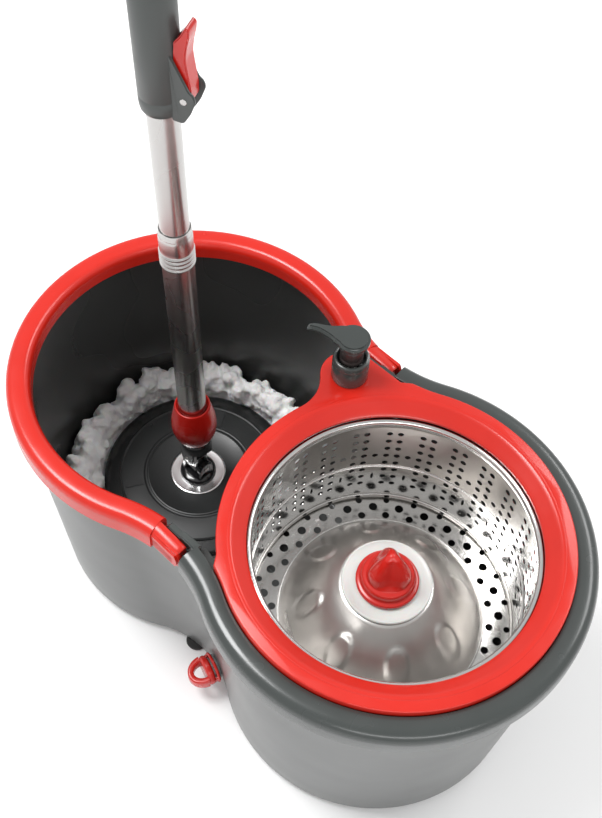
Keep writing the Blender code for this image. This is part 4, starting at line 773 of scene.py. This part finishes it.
def build_basket():
    bm = bmesh.new()
    perforated_wall(bm)
    perforated_floor(bm)
    foot = [(96.6, 108), (96.9, 108.05), (97.3, 108.9), (97.5, 110), (97.6, 111.4)]
    rim = [(BASKET_R, 205), (BASKET_R, 208), (BASKET_R, 212)]
    rim += arc((BASKET_R + 0.6, ROLL_Z), 2.6, radians(205), radians(-60), 12)
    middle = [(77.2, BASKET_FLOOR_Z)] + [dome(k / 26) for k in range(27)]
    middle += [(31, DOME_TOP_Z), (13, DOME_TOP_Z)]
    around = 216
    angles = [2 * pi * k / around for k in range(around)]
    for profile in (foot, rim, middle):
        rings = [[(r * cos(a), r * sin(a), z + dimple(a, r)) for a in angles] for r, z in profile]
        band(bm, [ring(bm, points) for points in rings])
    bmesh.ops.remove_doubles(bm, verts=bm.verts, dist=0.02)
    bmesh.ops.recalc_face_normals(bm, faces=bm.faces)
    centre = Vector((0, 0, 180))
    facing = sum(1 if f.normal.dot(centre - f.calc_center_median()) > 0 else -1 for f in bm.faces)
    if facing < 0:
        bmesh.ops.reverse_faces(bm, faces=bm.faces)
    basket = add("basket_sheet", bm, "steel", fix_normals=False)
    thick = basket.modifiers.new("Sheet", "SOLIDIFY")
    thick.thickness = SHEET * mm
    thick.offset = -1
    settle(basket)
    basket.data.materials.append(LOOKS["satin"])
    for face in basket.data.polygons:
        x, y, z = face.center / mm
        if hypot(x, y) < 77.2 and z < 158:
            face.material_index = 1
    shade(basket.data, 45)
    beads = [lathe(arc((radius, height), size, 0, 2 * pi * 11 / 12, 11), 180)
             for radius, height, size in ((97.3, 155, 0.8), (97, 112.4, 0.7), (76.4, 108.5, 1))]
    piece("basket_beads", merged(*beads), "steel", "rotor", "basket", SPIN)
    place_on(basket, "rotor", "basket", SPIN)
    boss = above(BOSS_Z, [(10, -2.9), (31.6, -2.9), (32.6, -2.2), (32.6, -0.8), (32, -0.1), (31, 0),
                          (30.2, -0.5), (26, -0.5), (24.5, -0.2), (10, -0.2)])
    piece("boss_disc", lathe(boss, 120), "boss", "rotor", "basket_boss", SPIN)


def build_hub():
    """The three-lobed cone that the mop's plate sits on, with its locating fin and two notches."""
    foot = BOSS_Z + GAP
    cone = above(foot, [(0, 24), (6, 24), (6, 0), (22, 0), (22.6, 0.8), (22.6, 3), (21.8, 4), (20, 4.4),
                        (19.4, 5.2), (19, 9.4), (18, 10.8), (15.6, 11.8), (14.2, 15), (12.8, 21), (10.2, 27),
                        (7.2, 33), (4.8, 37.4), (2.2, 39.6)])

    def lobed(a, r, z):
        share = min(1.0, max(0.0, (z - foot - 11) / 6)) * min(1.0, max(0.0, (foot + 40 - z) / 4))
        if r < 6.1 and z < foot + 25:
            share = 0
        return r * (1 + 0.2 * share * cos(3 * (a - radians(255))))

    body = lathe(eased(cone + [(0, CONE_TIP_Z)], 0.6), 96, shape=lobed)
    fin = soften(block((16, -3.2, foot), (23.4, 3.2, foot + 11)), 0.9)
    hub = add("cone", merged(body, moved(fin, spun(72))), "red_deep")
    for angle in (-40, 170):
        carve(hub, moved(block((20.8, -3, foot - 2), (26, 3, foot + 2.2)), spun(angle)))
    shade(hub.data, 40)
    place_on(hub, "rotor", "hub_cone", SPIN)


# ---- soap pump

def build_pump():
    cap = [(6.2, 212), (9.2, 212), (9.2, 229.3), (13.1, 229.3), (13.3, 229.8), (13.3, 245), (13.05, 245.4),
           (13.05, 246.2), (13.3, 246.6), (13.1, 249.6), (12.4, 250.7), (11.4, 251), (10.5, 250.6),
           (10.2, 249.6), (10, 236), (6.2, 236)]
    piece("cap", lathe(cap), "grey", "bucket", "pump_cap", PUMP)
    skirt = [(7, 248.5), (8.2, 248.5), (8.4, 248.9), (8.4, 252.2), (8.15, 252.6), (8.15, 253.4),
             (8.4, 253.8), (8.4, 262), (8.1, 262.4), (8.1, 263.2), (8.4, 263.6), (8.4, 267.2), (7, 267.2)]
    piece("skirt", lathe(skirt, 72), "brown", "plunger", "pump_skirt", PUMP)
    waist = radians(46)
    side = [(10.4, -7.9), (12.4, -7), (15, -5.7), (18, -4.6), (21, -3.8), (24, -3.3), (27, -3), (30, -2.75),
            (32.6, -2.5), (33.7, -1.9), (34, 0)]
    outline = arc((0, 0), 12, waist, 2 * pi - waist, 44) + side + [(x, -y) for x, y in reversed(side[:-1])]
    head = soften(prism(outline, 0, 5.5), 1.9, 5)
    bmesh.ops.triangulate(head, faces=[f for f in head.faces if len(f.verts) > 4])
    for vertex in head.verts:
        x, y, z = vertex.co
        crown = 0.5 * (1 - min(1, hypot(x, y) / 12)**2) * (z > 3)
        vertex.co.z += crown - max(0.0, x - 25)**2 / 26
    axis = shift(PUMP_X, PUMP_Y, HEAD_Z) @ spun(SPOUT_ANGLE)
    piece("spout_head", head, "grey", "spout", "pump_head", axis)
    bottle = [(0, 138), (17, 138), (19, 138.6), (20, 140.5), (20, 196), (19, 199.5), (12.2, 205.2),
              (10.7, 206.6), (10.7, 226), (9.5, 226), (9.5, 206), (18.8, 197), (18.8, 141), (17, 139.4),
              (0, 139.2)]
    piece("bottle", lathe(bottle, 64), "bottle", "bucket", "soap_bottle", PUMP)


def build_spring():
    """The pump's return spring, coiled between the ends of the CAD spring's box."""
    low, high = (corner[2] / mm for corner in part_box("pump_spring"))
    turns, per_turn, coil_r, wire_r, stroke = 6, 28, 4.1, 0.4, 10
    path = []
    for k in range(turns * per_turn + 1):
        a = 2 * pi * k / per_turn
        height = low + wire_r + (high - low - 2 * wire_r) * k / (turns * per_turn)
        path.append(Vector((coil_r * cos(a), coil_r * sin(a), height)))
    coil = wire(path, [wire_r] * len(path))
    spring = piece("return_spring", coil, "bright", "bucket", "pump_spring", PUMP)
    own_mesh(spring)


# ---- mop head

def build_yarn():
    """Short fat loops of yarn, fused into one fluffy bunch round the plate and under it."""
    rng = random.Random(7)
    pump, centre = Vector((PUMP_X - MOP_X, PUMP_Y - MOP_Y)), Vector(YARN_SHIFT)

    def keep(point, radius):
        """Hold a point inside the space of the strands."""
        flat = Vector((point.x, point.y)) - centre
        if flat.length > YARN_R - radius:
            flat *= (YARN_R - radius) / flat.length
        flat += centre
        flat.x = min(flat.x, YARN_SIDE_X - MOP_X - radius)
        away = flat - pump
        if away.length < YARN_PUMP_R + radius:
            flat = pump + away.normalized() * (YARN_PUMP_R + radius)
        return Vector((flat.x, flat.y, min(max(point.z, 7.1 + radius), YARN_TOP_Z - radius)))

    def at(r, a, z):
        outer = r > 84
        return Vector((r * cos(a) + centre.x * outer, r * sin(a) + centre.y * outer, z))

    def is_tucked(a):
        return cos(a - TUCKED_ANGLE) > TUCKED_SHARE

    def strand(keys, count, radius, wander, seed):
        """A lumpy strand on a smooth curve through its keys, which strays from it a little."""
        path = []
        for k in range(count):
            t = k / (count - 1) * (len(keys) - 1)
            i = min(int(t), len(keys) - 2)
            f = t - i
            p0, p1, p2, p3 = keys[max(i - 1, 0)], keys[i], keys[i + 1], keys[min(i + 2, len(keys) - 1)]
            point = 0.5 * ((2 * p1) + (p2 - p0) * f + (2 * p0 - 5 * p1 + 4 * p2 - p3) * f * f
                           + (3 * p1 - p0 - 3 * p2 + p3) * f**3)
            drift = Vector([noise.noise(point * 0.06 + Vector((seed * 3.1 + axis * 17, axis, seed)))
                            for axis in range(3)])
            path.append(keep(point + drift * wander, radius))
        lumps = [0.95 + 0.4 * noise.noise(p * 0.11 + Vector((seed, 0, 0))) for p in path]
        return wire(path, [radius * lump for lump in lumps])

    core = lathe([(31, 9), (88, 9), (98, 16), (101, 30), (102, 46), (100, 58), (94, 62), (88, 52), (80, 34),
                  (31, 33)])
    for vertex in core.verts:
        x, y, z = vertex.co
        if is_tucked(atan2(y, x)):
            vertex.co = Vector((x, y, 0)).normalized() * min(hypot(x, y), 84) + Vector((0, 0, min(z, 34)))
        elif hypot(x, y) > 90:
            vertex.co.xy += centre
        vertex.co = keep(vertex.co, 1)
    parts = [core]
    for layer, total in enumerate((54, 46, 40)):
        for k in range(total):
            a = 2 * pi * (k + 0.8 * rng.random()) / total
            tucked = is_tucked(a)
            if tucked and layer:
                continue
            turn = rng.uniform(-0.14, 0.14)
            reach = rng.uniform(95, 108) - 4 * layer
            rise = 34 if tucked else (rng.uniform(62, 72) if layer else rng.uniform(46, 60))
            start = rng.uniform(90, 93) if layer and not tucked else 84
            keys = [at(start, a, 38 if tucked else 50), at((start + reach) / 2, a + turn * 0.3, rise),
                    at(reach, a + turn * 0.7, rise - 6), at(reach + 3, a + turn, rise - 20),
                    at(reach - 4, a + turn * 1.2, 12)]
            parts.append(strand(keys, 16, rng.uniform(4.6, 6.6), 7, 100 * layer + k))
    tufts = 44
    for k in range(tufts):
        a = 2 * pi * (k + rng.random()) / tufts
        if is_tucked(a):
            continue
        lean = rng.uniform(-0.1, 0.1)
        keys = [at(93, a, 50), at(99, a + lean, 63),
                at(rng.uniform(103, 110), a + 1.6 * lean, rng.uniform(64, 76))]
        parts.append(strand(keys, 8, rng.uniform(5.4, 7.6), 4, 700 + k))
    yarn = add("yarn_strands", merged(*parts), "yarn")
    fused = yarn.modifiers.new("Fuse", "REMESH")
    fused.mode = "VOXEL"
    fused.voxel_size = 1.5 * mm
    smoothed = yarn.modifiers.new("Soften", "SMOOTH")
    smoothed.factor = 0.5
    smoothed.iterations = 3
    settle(yarn)
    normals = [v.normal.copy() for v in yarn.data.vertices]
    for vertex, normal in zip(yarn.data.vertices, normals):
        p = vertex.co / mm
        lift = 1.5 * noise.noise(p * 0.2) + 0.5 * noise.noise(p * 0.52 + Vector((9, 2, 4)))
        vertex.co = keep(p + normal * lift, 0) * mm
    yarn.data.shade_smooth()
    if not yarn.data.materials:
        yarn.data.materials.append(LOOKS["yarn"])
    place_on(yarn, "mop_head", "mop_yarn", MOP)


def clevis_ear(axis, side, pivot_z, root_z):
    radius, foot = 7.3, 8.3
    if root_z < pivot_z:
        outline = [(-foot, root_z), (foot, root_z)] + arc((0, pivot_z), radius, 0, pi, 20)
    else:
        outline = [(foot, root_z), (-foot, root_z)] + arc((0, pivot_z), radius, pi, 2 * pi, 20)
    return moved(soften(prism(outline, *sorted((side * 6.3, side * 11))), 1), FACING[axis])


def build_mop_head():
    top = PLATE_TOP_Z
    low = top - 11.6
    plate = [(6.5, low), (78.6, low), (80, low + 1.4)] + above(top, [
        (80, -5.4), (79.4, -4.2), (77.4, -2.6), (76, -2.1), (68.2, -1.3), (67, -1.3), (66.4, -0.6),
        (65.6, -0.2), (64.8, -0.6), (64.2, -0.4), (46.4, -0.1), (45.6, -0.9), (44.6, -1.2), (43.6, -0.9),
        (43, -0.1), (42, 0.1), (41.2, -0.4), (24.6, -0.2), (23.8, -0.3), (23.8, -1.6), (6.5, -1.6)])
    parts = [lathe(plate, 180)]
    pip = above(top, [(0, -1.2), (1.9, -1.2), (1.9, 0.2), (1.2, 0.9), (0, 1.1)])
    for a in (radians(178), radians(58), radians(298)):
        made = lathe(pip, 24)
        parts.append(moved(made, Matrix.Translation((63 * cos(a), 63 * sin(a), 0))))
    for k in range(3):
        bridge = soften(block((47, -4, top - 1), (63, 4, top + 0.35)), 0.35, 2)
        parts.append(moved(bridge, spun(118 + 120 * k)))
    made = add("plate", merged(*parts), "plate")
    made.data.materials.append(LOOKS["plate_rim"])
    for face in made.data.polygons:
        if hypot(face.center.x, face.center.y) > 66.5 * mm:
            face.material_index = 1
    place_on(made, "mop_head", "mop_plate", MOP)
    disc = above(top, [(6.5, -1.3), (23.1, -1.3), (23.3, -0.9), (23.3, 0), (22.9, 0.35), (22.2, 0.45),
                       (21.4, 0.3), (16, 0.3), (6.5, 0.3)])
    piece("disc", lathe(disc, 120), "mirror", "mop_head", "plate_disc", MOP)


def build_joint():
    """The clevis, knuckle and pins of the joint between the plate and the pole."""
    top = PLATE_TOP_Z
    flange = [(0, 38.4), (6, 38.4)] + above(top, [(6, 0.8), (14.6, 0.8), (15, 1.3), (15, 2.6), (13.6, 4),
                                                  (11, 5), (0, 5.2)])
    parts = [lathe(eased(flange, 0.5), 64)]
    parts += [clevis_ear("X", side, LOWER_PIVOT_Z, 52) for side in (-1, 1)]
    piece("clevis_base", merged(*parts), "black", "mop_head", "joint_base", MOP)
    pin = bar(2.6, (-11.5, 0, LOWER_PIVOT_Z), (11.5, 0, LOWER_PIVOT_Z), 32, 0.5)
    piece("clevis_pin_lower", pin, "chrome", "mop_head", "lower_joint_pin", MOP)
    middle = (LOWER_PIVOT_Z + UPPER_PIVOT_Z) / 2
    eyes = []
    for axis, pivot_z, way in (("X", LOWER_PIVOT_Z, 1), ("Y", UPPER_PIVOT_Z, -1)):
        turn = pi * (way + 1) / 2
        outline = [(6 * way, middle + 2 * way), (-6 * way, middle + 2 * way)]
        outline += arc((0, pivot_z), 7, turn, turn + pi, 24)
        eyes.append(moved(soften(prism(outline, -6, 6), 0.9), FACING[axis]))
    piece("knuckle", merged(*eyes), "black", "knuckle", "joint_knuckle", MOP)
    pin = bar(2.6, (0, -11.5, UPPER_PIVOT_Z), (0, 11.5, UPPER_PIVOT_Z), 32, 0.5)
    piece("clevis_pin_upper", pin, "chrome", "knuckle", "upper_joint_pin", MOP)


# ---- pole

def build_pole():
    fork = [(0, 10), (11.4, 10), (12.8, 11.4), (13, 13), (13, 22), (12.4, 22.4), (12.4, 23.2), (13, 23.6),
            (13, 25), (10, 25), (10, 45), (0, 45)]
    parts = [lathe(fork, 72)]
    parts += [clevis_ear("Y", side, 0, 12.5) for side in (-1, 1)]
    piece("clevis_fork", merged(*parts), "black", "lower_pole", "joint_fork", POLE)
    barrel = [(11.3, 25.3), (13.2, 25.3), (13.7, 25.8), (14.3, 27), (15.7, 30), (16.9, 33.6), (17.8, 38),
              (18.2, 42), (18.15, 46), (17.8, 50), (17.1, 54.6), (16.1, 59.6), (15.1, 64), (14.5, 67),
              (14.2, 68.6), (13.8, 69.4), (13.2, 69.5), (12.6, 69.1), (12.2, 68.2), (12, 66.8), (11.3, 66.4)]
    piece("socket", lathe(barrel), "red_deep", "lower_pole", "pole_socket", POLE)
    for name, node, radius, low, high, body in (("tube_low", "lower_tube", 11, 25.3, 265, "lower_pole"),
                                                ("tube_mid", "middle_tube", 10, 266, 671, "lower_pole"),
                                                ("tube_top", "upper_tube", 11, 394, 1010, "upper_pole")):
        inner, edge = radius - 0.65, radius - 0.15
        tube = [(inner, low), (edge, low), (radius, low + 0.2), (radius, high - 0.2), (edge, high),
                (inner, high)]
        piece(name, lathe(tube, 128), "chrome", body, node, POLE)
    ferrule = [(11.3, 236), (11.5, 236)]
    for k in range(4):
        ferrule += above(237.2 + 3.7 * k, [(11.55, 0), (11.9, 0.4), (12.15, 1.1), (11.9, 1.8), (11.55, 2.2),
                                           (11.45, 2.9)])
    ferrule += [(11.55, 254), (11.55, 262.4), (11.4, 264.6), (11, 266.4), (10.95, 269.6), (10.8, 270),
                (10.3, 270), (10.3, 265.4), (11.3, 265.4)]
    piece("rolled_ferrule", lathe(ferrule), "chrome", "lower_pole", "ferrule", POLE)


def build_lock():
    shell = [(10.3, 369), (11, 369), (11.9, 369.6), (12.8, 371.2), (13.2, 373.4), (13.4, 376),
             (13.4, 379.6), (13.2, 380), (13.2, 380.8), (13.4, 381.2), (13.4, 466), (13.2, 466.4),
             (13.2, 467.4), (13.4, 467.8), (13.4, 476.6), (13, 478.8), (12.2, 480), (11.3, 480),
             (11.3, 393.7), (10.3, 393.7)]
    ear = [(9.6, 416), (9.6, 368.2), (15.8, 367.6), (17.4, 369), (21.2, 375.5), (24.7, 384.6),
           (24.5, 387.4), (23.4, 389.8), (21.4, 391.2), (12.6, 411)]
    parts = [lathe(shell)]
    for side in (-1, 1):
        cheek = soften(prism(rounded(ear, 1.2), *sorted((side * 6.2, side * 8.2))), 0.55, 2)
        parts.append(moved(cheek, spun(LOCK_ANGLE) @ spun(90, "X")))
    piece("lock_shell", merged(*parts), "lock_grey", "upper_pole", "lock_body", POLE)
    at = spun(LOCK_ANGLE) @ Vector((LEVER_PIN_REACH, 0, LEVER_PIN_Z))
    across = spun(LOCK_ANGLE) @ Vector((0, 1, 0))
    pin = bar(2.2, at - across * 8.7, at + across * 8.7, 32, 0.4)
    piece("lever_pin", pin, "chrome", "upper_pole", "lock_pin", POLE)

    back = [(22.9, 430.6), (20.7, 432.6), (17.2, 426.2), (12.9, 421), (11.9, 415.5), (11.7, 409),
            (12.4, 402), (14.6, 394.5)]
    front = [(21.6, 391), (20.8, 398), (20, 405), (19.5, 411), (20.6, 418.5), (22.4, 425.5)]
    back, front = ([(x - LEVER_PIN_REACH, z - LEVER_PIN_Z) for x, z in run] for run in (back, front))
    outline = rounded(back + arc((0, 0), 3.9, radians(160), radians(360), 16) + front, 1.4)
    lever = add("cam_lever", moved(soften(prism(outline, -5.9, 5.9), 0.8), spun(90, "X")), "red_deep")
    carve(lever, bar(LOCK_R + GAP, (-LEVER_PIN_REACH, 0, 6), (-LEVER_PIN_REACH, 0, 60), 96))
    shade(lever.data)
    place_on(lever, "lever", "lock_lever", POLE @ shift(*at) @ spun(LOCK_ANGLE))


def build_grip():
    grip = [(11.3, 865), (13, 865), (14.2, 866.4), (14.6, 868.6), (14, 870.4)]
    for k in range(23):
        bulge = 0.7 * sin(pi * k / 22)
        rib = above(872.5 + 6 * k, [(13.9, 0), (14.25, 0.9), (14.3, 3.9), (13.95, 4.8)])
        grip += [(r + bulge, z) for r, z in rib]
    grip += [(14, 1011.5), (14.4, 1013.5), (14.3, 1017.6), (13.4, 1019.6), (12.6, 1020), (11.3, 1020)]
    piece("ribbed_grip", lathe(grip), "lock_grey", "upper_pole", "grip", POLE)
    top, eye = 1020.3, 1063
    cap = [(0, 996), (10.05, 996)] + above(top, [
        (10.05, 0), (13.8, 0), (14.8, 1), (15, 2.4), (15, 8), (14.4, 10.8), (12.6, 13.8), (9.4, 16.4),
        (5, 17.8), (0, 18)])
    hook = add("cap_and_loop", lathe(cap, 72), "red_deep")
    outline = [(-10, top + 8), (10, top + 8)] + arc((0, eye), 9, 0, pi, 28)
    loop = add("loop", prism(outline, -3, 3), "red_deep")
    carve(loop, bar(5, (0, eye - 2, -10), (0, eye - 2, 10), 48))
    ease_edges(loop, 0.9)
    place_on(hook, "upper_pole", "end_cap", POLE)
    place_on(loop, "upper_pole", "end_cap", POLE @ spun(90, "X"))


# ---- the rest

def dress_hidden_parts():
    """Finishes for the CAD pieces that stay as they are, most of them inside."""
    hidden = {
        "rubber": ["drain_seal"], "black": ["floor_post", "basket_hub"],
        "brass": ["thrust_washer", "drive_nut"],
        "bright": ["spindle", "spindle_clip", "lower_bearing", "upper_bearing", "check_ball", "drive_rod"],
        "white": ["pump_cylinder", "dip_tube", "pump_stem", "pump_piston", "refill_ring", "tube_joiner",
                  "guide_bush", "rod_anchor"]}
    for look, names in hidden.items():
        for name in names:
            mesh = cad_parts[name].data
            mesh.materials.clear()
            mesh.materials.append(LOOKS[look])
            shade(mesh, 40)


def area_light(name, energy, size, at, towards):
    data = bpy.data.lights.new(name, "AREA")
    data.energy = energy
    data.shape = "RECTANGLE"
    data.size, data.size_y = size
    made = bpy.data.objects.new(name, data)
    bpy.context.scene.collection.objects.link(made)
    made.location = at
    made.rotation_euler = (Vector(towards) - Vector(at)).to_track_quat("-Z", "Y").to_euler()


def build_studio():
    """A pale floor, a pale sky that is a little dimmer overhead, and three soft lights."""
    bm = bmesh.new()
    bmesh.ops.create_circle(bm, cap_ends=True, segments=96, radius=40 / mm)
    floor = add("studio_floor", bm, "floor")
    floor.location.z = -0.5 * mm
    world = bpy.data.worlds.new("studio")
    bpy.context.scene.world = world
    world.use_nodes = True
    sky = world.node_tree
    height = add_node(sky, "SeparateXYZ", {"Vector": add_node(sky, "TexCoord").outputs["Generated"]})
    fade = add_node(sky, "MapRange", {"Value": height.outputs["Z"], "From Min": 0.1, "From Max": 0.95,
                                      "To Min": 0.78, "To Max": 0.62})
    background = sky.nodes["Background"]
    background.inputs["Color"].default_value = (1, 1, 1, 1)
    sky.links.new(fade.outputs["Result"], background.inputs["Strength"])
    bpy.context.scene.view_settings.view_transform = "Standard"
    area_light("key", 46, (0.9, 0.9), (-0.9, -0.5, 2.3), (-0.05, 0, 0.1))
    area_light("fill", 12, (1.8, 0.35), (1.5, -1.1, 1.3), (0, 0, 0.1))
    area_light("back", 20, (1.6, 0.5), (0.5, 1.7, 1.9), (0, 0, 0.2))


def build_camera():
    """The photograph's viewpoint."""
    data = bpy.data.cameras.new("photo_camera")
    data.lens = 51.51
    data.sensor_fit = "AUTO"
    data.sensor_width = 36
    camera = bpy.data.objects.new("photo_camera", data)
    bpy.context.scene.collection.objects.link(camera)
    right = Vector((0.71394052, 0.69929131, 0.0357854))
    up = Vector((-0.59721368, 0.58145125, 0.55249459))
    back = Vector((0.3655472, -0.4158198, 0.83274794))
    turn = Matrix((right, up, back)).transposed().to_4x4()
    camera.matrix_world = Matrix.Translation((0.28568, -0.31621, 0.91429)) @ turn
    bpy.context.scene.camera = camera


for build in (build_bucket, build_feet, build_collar, build_handle, build_deck, build_drain, build_basket,
              build_hub, build_pump, build_spring, build_yarn, build_mop_head, build_joint, build_pole,
              build_lock, build_grip, dress_hidden_parts, build_studio, build_camera):
    build()
